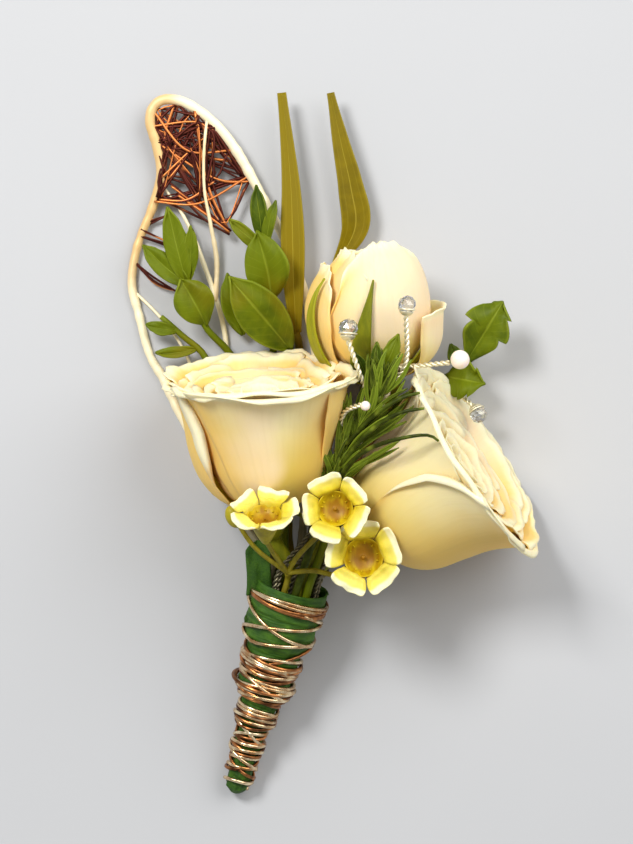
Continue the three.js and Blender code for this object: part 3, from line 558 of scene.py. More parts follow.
# Roses. A profile is radius and height from a petal's foot to its lip. Turns are in degrees round the axis
# from the side that faces the eye.
OPEN_ROSE = {
    "outer": [(2.2, 0.2), (8.6, 2.4), (12.1, 7.2), (13.6, 13), (15, 18.6), (17.2, 23.4), (18.8, 25.3)],
    "middle": [(1.8, 1), (7.2, 4.4), (10, 9.5), (11, 15), (12, 20.5), (13.6, 24.6), (14.6, 25.4)],
    "inner": [(1.4, 1.6), (5.2, 5.5), (7, 10.5), (7.2, 16), (7, 21), (8, 25)],
    "full": [(2.2, 0.2), (9.4, 1.9), (13.4, 6.2), (15.2, 12), (15.9, 18), (17.2, 23), (18.4, 25.3)],
    "flare": [(2.2, 0.2), (8.6, 2.4), (12.3, 7.2), (14.4, 13), (16.8, 18.6), (18, 23), (18.8, 25.3)],
}
ROSE_BUD = {
    "outer": [(1.8, 0.4), (6.6, 2.4), (9.8, 5.6), (11.6, 10), (12.2, 15), (12.6, 18)],
    "middle": [(1.6, 1), (6, 4), (9.2, 8.6), (10.6, 14), (10.2, 20), (7.8, 25), (5.4, 27.6)],
    "inner": [(1.2, 1.6), (4.4, 6), (6.4, 12), (6.2, 18), (4.6, 23.5), (3, 26.2)],
    "hood": [(1.6, 0.8), (6.6, 3.6), (10, 8.2), (11.4, 13.6), (11.2, 19), (9.4, 24), (6.2, 27.6)],
    "side": [(1.8, 0.4), (7.4, 2.8), (11, 6.6), (13, 11.4), (13.2, 16), (11.8, 20), (9.8, 22.8)],
}
# The petals of a rose that can be told apart. out is how far one stands out, corner how much its corners
# are rounded, and lean how much further out its right edge lies than its left. Its lip curls outwards by
# roll degrees about roll_at, where it may also dip. One edge, on the side that free names, may fold back by
# fold millimetres and draw back by skew degrees between two places up the petal.
PETAL = dict(profile="outer", turn=0, half=52, tall=1.0, out=0.0, corner=0.16, lean=0.6, roll=70, roll_at=0.0,
             roll_wide=3.0, dip=0.0, wave=1.0, free=1, fold=0.0, skew=(0, 0.4, 0.9))
LEFT_PETALS = [
    dict(turn=22, half=71, tall=0.955, out=0.3, corner=0.02, lean=0.0, roll=200, roll_at=-0.18,
         roll_wide=0.32, dip=0.03, wave=0.4),
    dict(turn=14, half=86, tall=0.985, out=-0.35, corner=0.02, roll=150, wave=1.1),
    dict(profile="full", turn=-106, half=67, tall=0.975, out=0.2, corner=0.12, lean=-1.7, roll=150,
         fold=1.9, skew=(22, 0.42, 0.9)),
    dict(profile="flare", turn=100, half=56, tall=0.98, corner=0.06, lean=0.0, roll=170, roll_at=-0.5,
         roll_wide=0.7),
    dict(profile="full", turn=-164, half=54, out=-0.6, lean=0.0, roll=60, wave=1.7),
    dict(turn=152, half=58, tall=1.01, out=-0.3, roll=90, wave=2.2),
    dict(turn=-150, half=60, tall=1.01, out=-1.6, corner=0.08, roll=40, wave=2.2),
]
RIGHT_PETALS = [
    dict(turn=50, half=85, tall=0.965, out=0.9, corner=0.06, roll=150, roll_at=0.5, roll_wide=0.8, free=-1,
         fold=2.0, skew=(50, 0.35, 1.05), wave=0.5),
    dict(turn=-20, half=84, tall=0.985, out=-0.2, corner=0.03, roll=165, wave=0.9),
    dict(turn=128, half=50, out=0.7, corner=0.12, roll=190, roll_at=-0.4, roll_wide=0.6, wave=1.5),
    dict(turn=-100, half=46, tall=0.97, out=-1.0, corner=0.2, roll=60),
    dict(turn=-150, half=58, out=0.3, roll=60),
    dict(turn=172, half=56, tall=1.01, out=-0.5, roll=70),
    dict(turn=-172, half=60, tall=1.005, out=-1.9, roll=40, wave=1.2),
]
BACK_PETALS = [
    dict(profile="hood", turn=18, half=78, tall=0.985, out=-0.1, corner=0.26, roll=-20, lean=-0.8, free=-1,
         fold=0.4, skew=(22, 0.45, 0.85), wave=1.3),
    dict(profile="hood", turn=-66, half=60, tall=0.91, out=-0.3, corner=0.22, roll=20, lean=0.3, wave=1.2),
    dict(profile="hood", turn=160, half=72, tall=0.88, out=-0.6, corner=0.16, roll=10, wave=1.2),
    dict(profile="hood", turn=-128, half=62, tall=0.88, out=0.1, corner=0.2, roll=20),
    dict(profile="side", turn=-86, half=44, tall=0.98, out=0.1, corner=0.22, lean=-0.2, roll=30, wave=0.8),
    dict(turn=88, half=44, tall=0.72, out=0.6, corner=0.07, roll=30, wave=0.6),
    dict(turn=186, half=46, out=0.9, corner=0.3, roll=80),
]
# Rings of petals inside those: profile, width and height of it, count, first turn, half width and wave.
OPEN_RINGS = [
    ("outer", 0.84, 0.965, 3, 170, 80, 1.2), ("middle", 0.95, 0.935, 3, 100, 78, 1.3),
    ("middle", 0.75, 0.9, 3, 160, 78, 1.2), ("inner", 1.05, 0.88, 3, 40, 78, 1.1),
    ("inner", 0.72, 0.87, 2, 110, 110, 0.8), ("inner", 0.42, 0.86, 2, 30, 120, 0.6),
    ("inner", 0.2, 0.85, 2, 120, 130, 0.3),
]
BUD_RINGS = [
    ("middle", 0.9, 0.87, 3, 80, 74, 0.6), ("middle", 0.72, 0.85, 2, 20, 110, 0.6),
    ("inner", 0.9, 0.88, 3, 60, 78, 0.5), ("inner", 0.5, 0.87, 2, 10, 120, 0.4),
]
# A rose runs from its base to the middle of its rim. press is how far one side is pressed in, the turn at
# its middle and how wide it reaches, and dusk gives the turns that face away from the light. A sepal that
# lies on the petals has a profile, turn, width, reach and skew, and one that hangs has its turn alone.
ROSES = {
    "left": {
        "base": (-12.1, -11.7, 16.5), "rim": (-13.7, 14.4, 21.6), "wide": 0.985, "tall": 1.03,
        # On this rose the foot colour reaches higher, as painted shade on its lower part.
        "dusk": [-100, 112], "foot_and_shade_top": 0.3,
        "profiles": OPEN_ROSE, "press": (4.4, 114, 32), "rings": OPEN_RINGS, "petals": LEFT_PETALS,
        "stem": [(-11, -18.5, 14.2)], "slot": (0, 0), "sepals": [], "hanging": [130, 180, 235],
    },
    "right": {
        "base": (6.3, -15.6, 14.9), "rim": (27.5, -1.9, 20), "wide": 1.04, "tall": 1.03, "dusk": [96],
        "foot_and_shade_top": 0.1,
        "profiles": OPEN_ROSE, "press": (0, 0, 30), "rings": OPEN_RINGS, "petals": RIGHT_PETALS,
        "stem": [(1.2, -19.4, 14), (-2.6, -23.2, 14.2)], "slot": (INNER, 30), "sepals": [],
        "hanging": [118, 262],
    },
    "back": {
        "base": (9, 12.5, 9.4), "rim": (7, 39.5, 14.5), "wide": 1.0, "tall": 1.0, "dusk": [-110],
        "foot_and_shade_top": 0.1,
        "profiles": ROSE_BUD, "press": (0, 0, 30), "rings": BUD_RINGS, "petals": BACK_PETALS,
        "stem": [(8.1, 4, 7.6), (3.6, -6, 7.6), (-1.6, -17.5, 9.6)], "slot": (INNER, 330),
        "sepals": [("hood", -30, 3.8, 0.74, 30), ("side", -66, 3.4, 0.95, 10), ("middle", 62, 3, 0.36, 0),
                   ("middle", 150, 3, 0.6, 0), ("middle", 212, 3, 0.6, 0)],
        "hanging": [],
    },
}
ROSE_FOOT = [(0, -0.4), (3.6, -0.1), (4.6, 1.2), (3.4, 3.4), (0, 4.2)]
CALYX = [(0, -6.4), (1.3, -5.8), (2.6, -3.8), (2.9, -2.2), (3.9, -0.9), (3.3, -0.8), (0, -0.8)]
LIP_START = 0.88
LIP_LENGTH = 1.9
FOLD_TURN = 200
PETAL_GRID = (36, 34)
RING_PETAL_GRID = (24, 22)
ROSE_STEM_RADIUS = 1.15


def curl(length, bend):
    """How far a strip of this length gets ahead and aside when it bends evenly through an angle."""
    if abs(bend) < 0.02:
        return length, length * bend / 2
    return length * sin(bend) / bend, length * (1 - cos(bend)) / bend


def rose_petal(bm, place, profile, plan, rose, ruffle, grid, depth, phase):
    """One petal, laid round the rose's axis. depth is 0 outside and 1 in the rose's middle."""
    petal = {**PETAL, **plan}
    press = rose["press"]
    amount, start, end = petal["skew"]
    wave_size = ruffle * petal["wave"]

    def surface(u, v):
        s = 2 * u - 1
        curled = exp(-((s - petal["roll_at"]) / petal["roll_wide"]) ** 2)
        reach = min(1, v / LIP_START) * (1 - petal["corner"] * abs(s) ** 2.6 - petal["dip"] * curled)
        radius, height = along(profile, reach)
        low_radius, low_height = along(profile, reach - 0.03)
        rise = Vector((radius - low_radius, height - low_height)).normalized()
        lip = max(0, v - LIP_START) / (1 - LIP_START)
        weight = curled * (0.85 + 0.5 * drift(2.2 * s, phase))
        ahead, aside = curl(LIP_LENGTH * lip, radians(petal["roll"]) * weight * lip)
        radius += rise.x * ahead + rise.y * aside
        height = (height + rise.y * ahead - rise.x * aside) * petal["tall"]
        angle = petal["turn"] + petal["half"] * s * (0.6 + 0.4 * min(1, 1.6 * v))
        angle -= petal["free"] * amount * ease(v, start, end) * max(0, s * petal["free"])
        away = ((angle - press[1] + 180) % 360 - 180) / press[2]
        flat = press[0] * exp(-away * away) * min(1, radius / 14) ** 2
        top = v ** 4
        wave = 0.35 * sin(5 * s + phase) + 0.9 * drift(2.2 * s, phase, v)
        wave += 0.55 * drift(6.5 * s, phase + 9, 2 * v) * top
        radius += petal["out"] * min(1, 4 * v) + petal["lean"] * s * min(1, 4 * v) - flat
        radius += wave_size * top * wave
        radius += 0.4 * drift(1.3 * s + phase, 2.2 * v, phase) * sin(pi * v)
        height += wave_size * top * (0.7 * drift(2.8 * s, phase - 5) + 0.4 * drift(8 * s, phase + 3))
        edge = ease(s * petal["free"], 0.84, 1.0) * petal["fold"] * ease(v, 0.2, 0.6)
        if edge:
            bend = radians(FOLD_TURN) * ease(s * petal["free"], 0.84, 1.0)
            radius += edge * (1 - cos(bend)) / 2
            angle -= petal["free"] * degrees(edge * (bend - sin(bend)) / 2 / max(radius, 3))
        return place @ around(radius, radians(angle), height)

    # Painted shade on the side turned from the light, above 0, and the folded-back edge, below 0.
    def warm(u, v):
        s = 2 * u - 1
        turn = petal["turn"] + petal["half"] * s
        away = max(0.5 + 0.5 * cos(radians(turn - side)) for side in rose["dusk"])
        edge = ease(s * petal["free"], 0.82, 0.95) * ease(v, 0.3, 0.55) * (petal["fold"] > 0.6)
        return away ** 2 * (1 - depth) * (1 - edge) - edge

    sheet(bm, surface, *grid, tone=random(), depth=depth, warm=warm)


def rose_bloom(name, rose, material, sizes):
    place = flower_frame(rose["base"], rose["rim"])
    bm = new_piece()
    profiles = {key: [(r * rose["wide"], h * rose["tall"]) for r, h in line]
                for key, line in rose["profiles"].items()}
    phase = 0.0
    for plan in rose["petals"]:
        phase += 1.7
        profile = profiles[plan.get("profile", PETAL["profile"])]
        rose_petal(bm, place, profile, plan, rose, sizes.ruffle, PETAL_GRID, 0.0, phase)
    for ring, (profile_name, wide, tall, count, first, half, wave) in enumerate(rose["rings"], 1):
        deep = ring / len(rose["rings"])
        profile = [(r * wide, h) for r, h in profiles[profile_name]]
        strength, at, reach = rose["press"]
        for k in range(count):
            phase += 1.7
            plan = {"turn": first + 360 / count * k + uniform(-8, 8), "half": half, "corner": 0.13,
                    "tall": tall * uniform(0.98, 1.01), "out": 0.6 * (k % 2) - 0.3, "wave": wave,
                    "roll": uniform(50, 110) * (1 - 0.8 * deep)}
            inside = {**rose, "press": (strength * (1 - 0.5 * deep), at, reach)}
            rose_petal(bm, place, profile, plan, inside, sizes.ruffle, RING_PETAL_GRID, deep, phase)
    turned(bm, ROSE_FOOT, place, 24)
    finish_piece(bm, name, [f"{name}_bloom"], material, sizes.thickness)


def lying_sepal(bm, place, line, turn, width, reach, skew):
    """A sepal that lies on a rose's petals, along their profile."""
    def surface(u, v):
        radius, height = along(line, 0.04 + reach * v)
        radius += 0.95 + 0.25 * v * v + 0.2 * drift(3 * v, turn)
        narrow = (1 - v ** 3) ** 0.7
        wide = (u - 0.5) * (width * sin(pi * min(1, 0.3 + 0.68 * v)) + 0.5) * narrow
        angle = radians(turn + skew * v) + wide / max(radius, 3)
        radius += 0.25 * abs(2 * u - 1)
        return place @ around(radius, angle, height - 0.6)

    sheet(bm, surface, 8, 26, tone=random())


def hanging_sepal(bm, place, turn):
    """A sepal that hangs down from the calyx."""
    def surface(u, v):
        radius = 3 + 5.2 * v
        wide = (u - 0.5) * (2.6 * sin(pi * (0.35 + 0.6 * v)) + 0.4)
        height = -1.9 + 0.9 * v - 2.6 * v * v + 0.3 * abs(2 * u - 1)
        return place @ around(radius, radians(turn) + wide / radius, height)

    sheet(bm, surface, 6, 12, tone=random())


def rose_green(name, rose, material, sizes):
    place = flower_frame(rose["base"], rose["rim"])
    bm = new_piece()
    turned(bm, rounded(CALYX, 24), place, 28, tone=0.6)
    run = in_sheath([place @ Vector((0, 0, -4)), *seen_all(rose["stem"])], rose["slot"])
    tubes(bm, [(smooth(run, 40), ROSE_STEM_RADIUS)], 10, tone=0.4)
    for profile, *shape in rose["sepals"]:
        lying_sepal(bm, place, rose["profiles"][profile], *shape)
    for turn in rose["hanging"]:
        hanging_sepal(bm, place, turn)
    finish_piece(bm, f"{name}_green", [f"{name}_stem"], material, sizes.thickness)


# Leaves, each from its foot to its tip. widest is how far up a leaf is widest, arch how far it bends up, and
# teeth, cut and fold shape its edges and its midrib.
SPRIGS = {
    "sprig_left": {
        "stem": [(-28.6, 32.8, 6), (-26.3, 28.3, 5.4), (-24.6, 23.2, 4.4), (-19.4, 17.2, 1.6), (-17, 8, 1.4),
                 (-14.8, -4, 3), (-12.2, -15, 5.4)],
        "slot": outer_slot(9),
        "leaves": [
            dict(foot=(-28.2, 31.2, 6), tip=(-31.9, 46.2, 9), width=4.8),
            dict(foot=(-27.6, 31, 6), tip=(-36.7, 38.8, 7.5), width=4.4),
            dict(foot=(-27.8, 32, 6), tip=(-27.4, 42.6, 8.6), width=2.9),
            dict(foot=(-24.4, 23.4, 4.6), tip=(-29.5, 32.4, 8.6), width=7.8, widest=0.55, arch=1.4),
        ],
    },
    "sprig_low_left": {
        "stem": [(-33, 25, 3.6), (-29, 21.4, 3.4), (-24.8, 17.6, 3), (-22.8, 10, 3.2), (-19.2, -4, 4.4),
                 (-15.2, -14, 6.8)],
        "slot": outer_slot(8),
        "leaves": [
            dict(foot=(-30.2, 22.3, 3.6), tip=(-36, 23.6, 4.4), width=2.6),
            dict(foot=(-26.4, 18.8, 3.2), tip=(-34.2, 18.1, 4.4), width=2.3),
        ],
    },
    "sprig_centre": {
        "stem": [(-13.7, 40, 6.8), (-12.9, 35, 6.4), (-11.7, 26.3, 4.4), (-11.6, 19, 1.4), (-10.8, 10, 1.2),
                 (-9.8, -4, 3.2), (-9.4, -16, 7)],
        "slot": (INNER, 210),
        "leaves": [
            dict(foot=(-13.6, 39.4, 6.8), tip=(-14.8, 50.4, 8.4), width=3.2),
            dict(foot=(-13, 38.6, 6.8), tip=(-11, 47.4, 8), width=2.3),
            dict(foot=(-11.8, 28.2, 5), tip=(-14.6, 41.6, 10.4), width=8.6, arch=1.4),
            dict(foot=(-17.4, 21.6, 3), tip=(-20.4, 33.4, 6.4), width=4.8),
            dict(foot=(-8.2, 18.8, 3.6), tip=(-20, 32.8, 11), width=9.2, arch=1.6),
            dict(foot=(-13.2, 37.6, 6.6), tip=(-20, 43.8, 7.6), width=2.8),
        ],
    },
    "sprig_right": {
        "stem": [(26.2, 16.6, 7), (21.6, 13.4, 4.6), (15.2, 10.4, 3.6), (8.6, 3, 3.4), (3.8, -6, 4),
                 (1.4, -16.5, 7.6)],
        "slot": outer_slot(13),
        "leaves": [
            dict(foot=(25.2, 15.8, 6.8), tip=(32.6, 28, 10.6), width=10, widest=0.66, teeth=3.4, cut=0.4,
                 arch=0.9, fold=0.3),
            dict(foot=(22, 13.6, 5), tip=(29, 12.2, 8.6), width=8, teeth=4, cut=0.3, fold=0.3),
            dict(foot=(24.6, 15.4, 6.6), tip=(22.6, 19.8, 8.6), width=3),
        ],
    },
    "sprig_middle": {
        "stem": [(8.6, 13, 25.4), (6.4, 6, 23.6), (3.4, -1, 21.8), (0.6, -11, 19.8), (-2.2, -20, 17.8)],
        "slot": outer_slot(2),
        "leaves": [
            dict(foot=(8.2, 11.8, 25), tip=(8.4, 20.2, 27.2), width=2.5),
            dict(foot=(8.4, 12.4, 25.2), tip=(12.6, 21.7, 27.4), width=3.4),
            dict(foot=(7.6, 10.4, 24.6), tip=(4.2, 18.2, 28.2), width=2.4),
        ],
    },
}


LEAF_GRID = (12, 28)
NOTCHED_GRID = (12, 48)


def blade(bm, foot, tip, leaf, wide, long, tone=None):
    width, arch, fold = leaf["width"], leaf.get("arch", 0.6), leaf.get("fold", 0.15)
    teeth, cut, sway = leaf.get("teeth", 0), leaf.get("cut", 0), leaf.get("sway", 0.0)
    stalk = leaf.get("stalk", 0.3)
    power = log(0.5) / log(leaf.get("widest", 0.5))
    run = tip - foot
    side = run.cross(Vector((0, 0, 1))).normalized()
    rise = side.cross(run).normalized()

    def surface(u, v):
        s = 2 * u - 1
        notch = 1.0
        if teeth:
            notch -= cut * ((teeth * v + 0.12 * s) % 1) ** 1.5 * ease(v, 0.25, 0.6)
        half = stalk + (width / 2 - stalk) * sin(pi * v ** power) ** 0.8 * notch
        half *= min(1, 6 * (1 - v)) ** 0.5
        lift = arch * 4 * v * (1 - v) + fold * abs(s) * half + 0.13 * width * drift(1.6 * s, 2.4 * v, foot.x)
        lift += 0.05 * width * abs(s) ** 3 * sin(9 * v + foot.y)
        return foot + run * v + side * (s * half + sway * sin(pi * v)) + rise * lift

    sheet(bm, surface, wide, long, tone=random() if tone is None else tone)


def sprig(name, plan, material, sizes):
    bm = new_piece()
    stem = smooth(in_sheath(seen_all(plan["stem"]), plan["slot"]), 48)
    tubes(bm, [(stem, [0.34 + 0.3 * min(1, k / 20) for k in range(len(stem))])], 8, tone=0.9)
    for leaf in plan["leaves"]:
        leaf = {"sway": uniform(-0.4, 0.4), **leaf}
        grid = NOTCHED_GRID if "teeth" in leaf else LEAF_GRID
        blade(bm, *seen_all((leaf["foot"], leaf["tip"])), leaf, *grid)
    finish_piece(bm, f"{name}_leaves", [name], material, sizes.thickness)


GRASS = {
    "grass_left": {
        "spine": [(-7.2, 22, 2.6), (-7.6, 32, 4.4), (-7.8, 41, 5.2), (-8.1, 50, 5.4), (-9, 60, 5.4),
                  (-9.9, 68.1, 5.2)],
        "widths": [2.2, 4.0, 4.6, 3.6, 2.5, 1.7],
        "foot": [(-6.6, 20, 1.5), (-6.4, 10, 1.2), (-7.4, -4, 2.6), (-8.6, -16, 5)],
        "slot": outer_slot(10),
    },
    "grass_right": {
        "spine": [(-0.8, 28, 1.2), (0.6, 34.5, 1.6), (4.3, 42.5, 3.4), (3.4, 50, 4.4), (1.4, 59, 5),
                  (-0.5, 68.1, 5)],
        "widths": [1.4, 2.4, 5.6, 4.6, 3, 1.4],
        "foot": [(-0.8, 20, 1.2), (-0.6, 10, 1.2), (-2.2, -4, 3), (-4, -16, 5.4)],
        "slot": outer_slot(11),
    },
}
GRASS_THICKNESS = 0.5 * MM
GRASS_STEPS = 60
GRASS_STEM_RADIUS = 0.55


def grass_blade(name, plan, material):
    bm = new_piece()
    spine = smooth(seen_all(plan["spine"]), GRASS_STEPS)

    def surface(u, v):
        s = 2 * u - 1
        k = min(int(v * GRASS_STEPS), GRASS_STEPS - 1)
        spot = spine[k].lerp(spine[k + 1], v * GRASS_STEPS - k)
        side = (spine[k + 1] - spine[k]).cross(Vector((0, 0, 1))).normalized()
        half = along([(w,) for w in plan["widths"]], v)[0] / 2
        return spot + side * (s * half) + Vector((0, 0, 0.25 * abs(s) * half))

    sheet(bm, surface, 8, GRASS_STEPS, tone=random())
    foot = in_sheath([seen(*plan["spine"][0]), *seen_all(plan["foot"])], plan["slot"])
    tubes(bm, [(smooth(foot, 40), GRASS_STEM_RADIUS)], 8, tone=0.3)
    finish_piece(bm, f"{name}_blade", [name], material, GRASS_THICKNESS)


# The leaf frame of covered wire and the copper net on it. The net's strands run through places given by x
# and y alone.
FRAME_OUTLINE = [
    (-18.4, -13, 6.2), (-24.8, -2, 1.9), (-29.8, 7, 0.9), (-32.9, 13.5, 0.8), (-35.2, 17.5, 0.8),
    (-37.4, 25.6, 0.8), (-38.7, 31.3, 0.85), (-37.6, 38.7, 1), (-34.6, 46.5, 1.6), (-33, 52.5, 2.2),
    (-34, 58.4, 2.8), (-35.2, 62.4, 3.2), (-34.7, 65.2, 3.5), (-32.9, 66.7, 3.7), (-29.6, 66.6, 3.8),
    (-26.2, 64.9, 3.8), (-22.4, 61.8, 3.7), (-18.9, 57.4, 3.4), (-14.2, 49.2, 2.9), (-10.4, 42, 2.2),
    (-6.8, 34, 1.5), (-4.2, 24, 1), (-3.4, 12, 1), (-4.6, 0, 1.6), (-5.4, -10, 4.8), (-6.2, -19, 8.4),
]
FRAME_VEINS = [
    [(-33.2, 50.6, 2), (-30, 46.5, 2.2), (-27.2, 41.2, 2.3), (-25.2, 36, 2), (-21.9, 26.5, 1.3),
     (-20.4, 18, 0.7), (-21, 9, 0.6), (-25, -1.6, 1.7)],
    [(-24.2, 63.4, 3.9), (-24.6, 60, 5.2), (-24.9, 55, 5.1), (-24.7, 49, 4.6), (-23.6, 43, 3.8),
     (-22.4, 36, 2.2), (-22.6, 28, 1.5)],
    [(-37.9, 29.6, 0.9), (-34.6, 26.4, 1.5), (-31.6, 23, 2), (-28.8, 18.8, 1.7), (-26.4, 13, 1.1)],
]
FRAME_WIRE = 0.85
VEIN_WIRES = [0.5, 0.5, 0.3]
VEIN_TONES = [1.0, 0.3, 0.5]
NET_STRANDS = [
    [(-35.4, 61.6), (-26, 62.4), (-23, 60.4)], [(-34.6, 64.6), (-28, 57), (-19.6, 57)],
    [(-30.4, 66.6), (-32, 58), (-17.6, 54.6)], [(-22.6, 61.6), (-33, 51.8)],
    [(-34.4, 58.8), (-22, 51.4), (-15.6, 51)], [(-26.6, 64.6), (-24, 50), (-20.4, 42.2)],
    [(-16, 52.2), (-26, 46.8), (-34.4, 47.2)],
]
EDGE_STRANDS = [
    [(-35.9, 43.4), (-31.4, 44.4)], [(-37, 41), (-31.4, 39.4)], [(-38.2, 36), (-34.4, 32), (-29.2, 29)],
]
FOOT_STRANDS = [
    [(-31.4, 50.4), (-24.6, 45.2), (-19.8, 41.8)], [(-29.8, 48.8), (-24.2, 43.8), (-20.2, 41)],
    [(-33.2, 47.4), (-27.8, 47.8), (-22.6, 51.2)],
]
NET_MIDDLE = (-26, 57)
# Strands in the net's painted shade, for its shadowed crossings, and strands in its bright colour.
SHADED_STRANDS = 52
BRIGHT_STRANDS = 10
EDGE_COPIES = 4
FOOT_COPIES = 2


def frame_path():
    start = [across(FRAME_SLOT, 180, depth) for depth in (SLOT_DEPTHS[FRAME_SLOT], 0, ABOVE_MOUTH)]
    return smooth(in_sheath([*start, *seen_all(FRAME_OUTLINE)], (INNER, 270)), 420)


def shade_low(bm):
    """Marks what lies among the stems, where little light reaches, as deep."""
    depths = bm.verts.layers.float["depth"]
    for vert in bm.verts:
        vert[depths] = 1 - ease(vert.co.y, -17, -6)


def leaf_frame(material):
    bm = new_piece()
    path = frame_path()
    knobs = [1.0 + 0.2 * ease(point.y, 40, 56) + 0.16 * drift(k * 0.35) + 0.1 * drift(k * 0.05, 7)
             for k, point in enumerate(path)]
    made = tubes(bm, [(path, [FRAME_WIRE * knob for knob in knobs])], 16)
    tones = bm.verts.layers.float["tone"]
    for vert in made:
        vert[tones] = 0.62 - 0.5 * ease(vert.co.y, 22, 34) * (1 - ease(vert.co.x, -33, -28))
    for vein, wire, tone in zip(FRAME_VEINS, VEIN_WIRES, VEIN_TONES):
        line = smooth(seen_all(vein), 90)
        thin = [1.0 - 0.4 * ease(point.y, 36, 50) for point in line]
        radii = [wire * thin[k] * (1.0 + 0.22 * drift(k * 0.3, 4)) for k in range(len(line))]
        tubes(bm, [(line, radii)], 12, tone=tone)
    shade_low(bm)
    finish_piece(bm, "leaf_frame_wire", ["leaf_frame"], material)


def net_height(x, y):
    """The net lies within the rim at its edge and is arched in the middle."""
    return 2.0 + 1.2 * clamp((y - 33) / 30) + 1.4 * exp(-((x - NET_MIDDLE[0]) / 6) ** 2)


def strand(line, aside, lengthwise, low, high, count=20, height=net_height):
    """A smooth strand at random places near those of line, from low to high above the height there."""
    return smooth([seen(x + uniform(-aside, aside), y + uniform(-lengthwise, lengthwise),
                        height(x, y) + uniform(low, high)) for x, y in line], count)


def copper_net(material):
    bm = new_piece()
    corners = [(x + 0.12 * (NET_MIDDLE[0] - x), y + 0.04 * (NET_MIDDLE[1] - y))
               for line in NET_STRANDS for x, y in line]
    dark, bright = [], []
    for k, line in enumerate(NET_STRANDS):
        points = [seen(x, y, net_height(x, y) + 0.2 * sin(k * 2.4)) for x, y in line]
        bright.append((smooth(points, 20), 0.22 + 0.03 * (k % 3)))
    for k in range(SHADED_STRANDS + BRIGHT_STRANDS):
        points = strand(sample(corners, 3), aside=0.6, lengthwise=0.6, low=-0.7, high=0.25, count=16)
        if k < SHADED_STRANDS:
            dark.append((points, uniform(0.16, 0.34)))
        else:
            bright.append((points, uniform(0.14, 0.22)))
    for line in EDGE_STRANDS:
        for k in range(EDGE_COPIES):
            points = strand(line, aside=0.3, lengthwise=0.9, low=1.0, high=1.9, height=lambda x, y: 0)
            (dark if k else bright).append((points, uniform(0.14, 0.24)))
    for line in FOOT_STRANDS:
        for k in range(FOOT_COPIES):
            points = strand(line, aside=0.5, lengthwise=0.5, low=0, high=0.3)
            (dark if k else bright).append((points, 0.24))
    # The dark strands carry the net's painted shade.
    tubes(bm, dark, 6, tone=0.0)
    tubes(bm, bright, 8, tone=1.0)
    finish_piece(bm, "copper_net_strands", ["copper_net"], material)


# Filler flowers. The axis of each runs from its foot through its top.
FILLERS = [
    dict(foot=(-13.1, -13.9, 33.8), top=(-13.3, -8.5, 37.6), size=1.0, turn=20, stem=[(-11.4, -20.5, 24.6)]),
    dict(foot=(0.4, -11.9, 30.8), top=(0.2, -11.3, 40.4), size=1.0, turn=40,
         stem=[(-1.6, -15.6, 24.8), (-6.8, -21, 22)]),
    dict(foot=(5.8, -21.2, 27.2), top=(6, -21.4, 37), size=1.12, turn=5,
         stem=[(1.6, -24.6, 20.6), (-3.8, -23.8, 21.4)]),
]
FORK = (-8.8, -24.2, 19.8)
FORK_RADIUS = 0.6
FILLER_STEM_RADIUS = 0.5
BUD_STEM_RADIUS = 0.45
BUD_STEM = (-15, -19.4, 20.4)
BUD = (-19.2, -13.4, 22)
BUD_LEAN = (-0.3, 0.85, 0.4)
BUD_PROFILE = [(0, -2.6), (1.1, -1.6), (1.5, 0.2), (1, 1.8), (0, 2.4)]
FILLER_THICKNESS = 0.3 * MM
FILLER_PETALS = 5
KNOBS = 10
KNOB_RADII = [0.12, 0.1, 0.16]
FILLER_CUP = [(0, -5.6), (0.8, -5.3), (2.3, -2.2), (3.15, 0.2), (2.9, 0.3), (2.2, -1.2), (0, -1.6)]
FILLER_BOWL = [(0, -1.15), (1.6, -1.0), (2.6, -0.3), (3.2, 0.5), (3.4, 0.95), (3.2, 1.02), (2.85, 0.5),
               (2.2, -0.15), (1.2, -0.55), (0.42, -0.6), (0.26, -0.1), (0.3, 0.35), (0, 0.42)]


def filler_frame(flower):
    return flower_frame(flower["foot"], flower["top"], flower["size"])


def filler_petal(bm, place, turn):
    """A cupped petal whose tip bends back a little."""
    cup, tilt = uniform(0.7, 1.3), uniform(0.1, 1.1)
    wide, long = uniform(0.94, 1.06), uniform(3.2, 3.7)
    curl_back = uniform(0.2, 1.1)

    def surface(u, v):
        s = 2 * u - 1
        out = 2.95 + long * v * (1 - 0.16 * abs(s) ** 4) + 0.25 * drift(2.4 * s, turn) * v
        half = wide * (1.75 + 1.4 * sin(pi * (0.04 + 0.6 * v)))
        height = 0.15 + 1.3 * ease(v, 0, 0.16) - 0.5 * ease(v, 0.1, 0.5) + (0.5 + tilt) * v
        height += cup * s * s * v + 0.5 * drift(1.7 * s, 2.2 * v, turn)
        height -= curl_back * ease(v, 0.7, 1.15) * (0.7 + 0.8 * drift(s, turn, 3))
        x = out * cos(turn) - s * half * sin(turn)
        y = out * sin(turn) + s * half * cos(turn)
        return place @ Vector((x, y, height))

    sheet(bm, surface, 18, 18, tone=random())


def filler_petals(k, flower, material):
    place = filler_frame(flower)
    bm = new_piece()
    for petal in range(FILLER_PETALS):
        turn = radians(flower["turn"] + 360 / FILLER_PETALS * petal + uniform(-5, 5))
        filler_petal(bm, place, turn)
    finish_piece(bm, f"filler_{k}_ring", [f"filler_{k}_petals"], material, FILLER_THICKNESS)


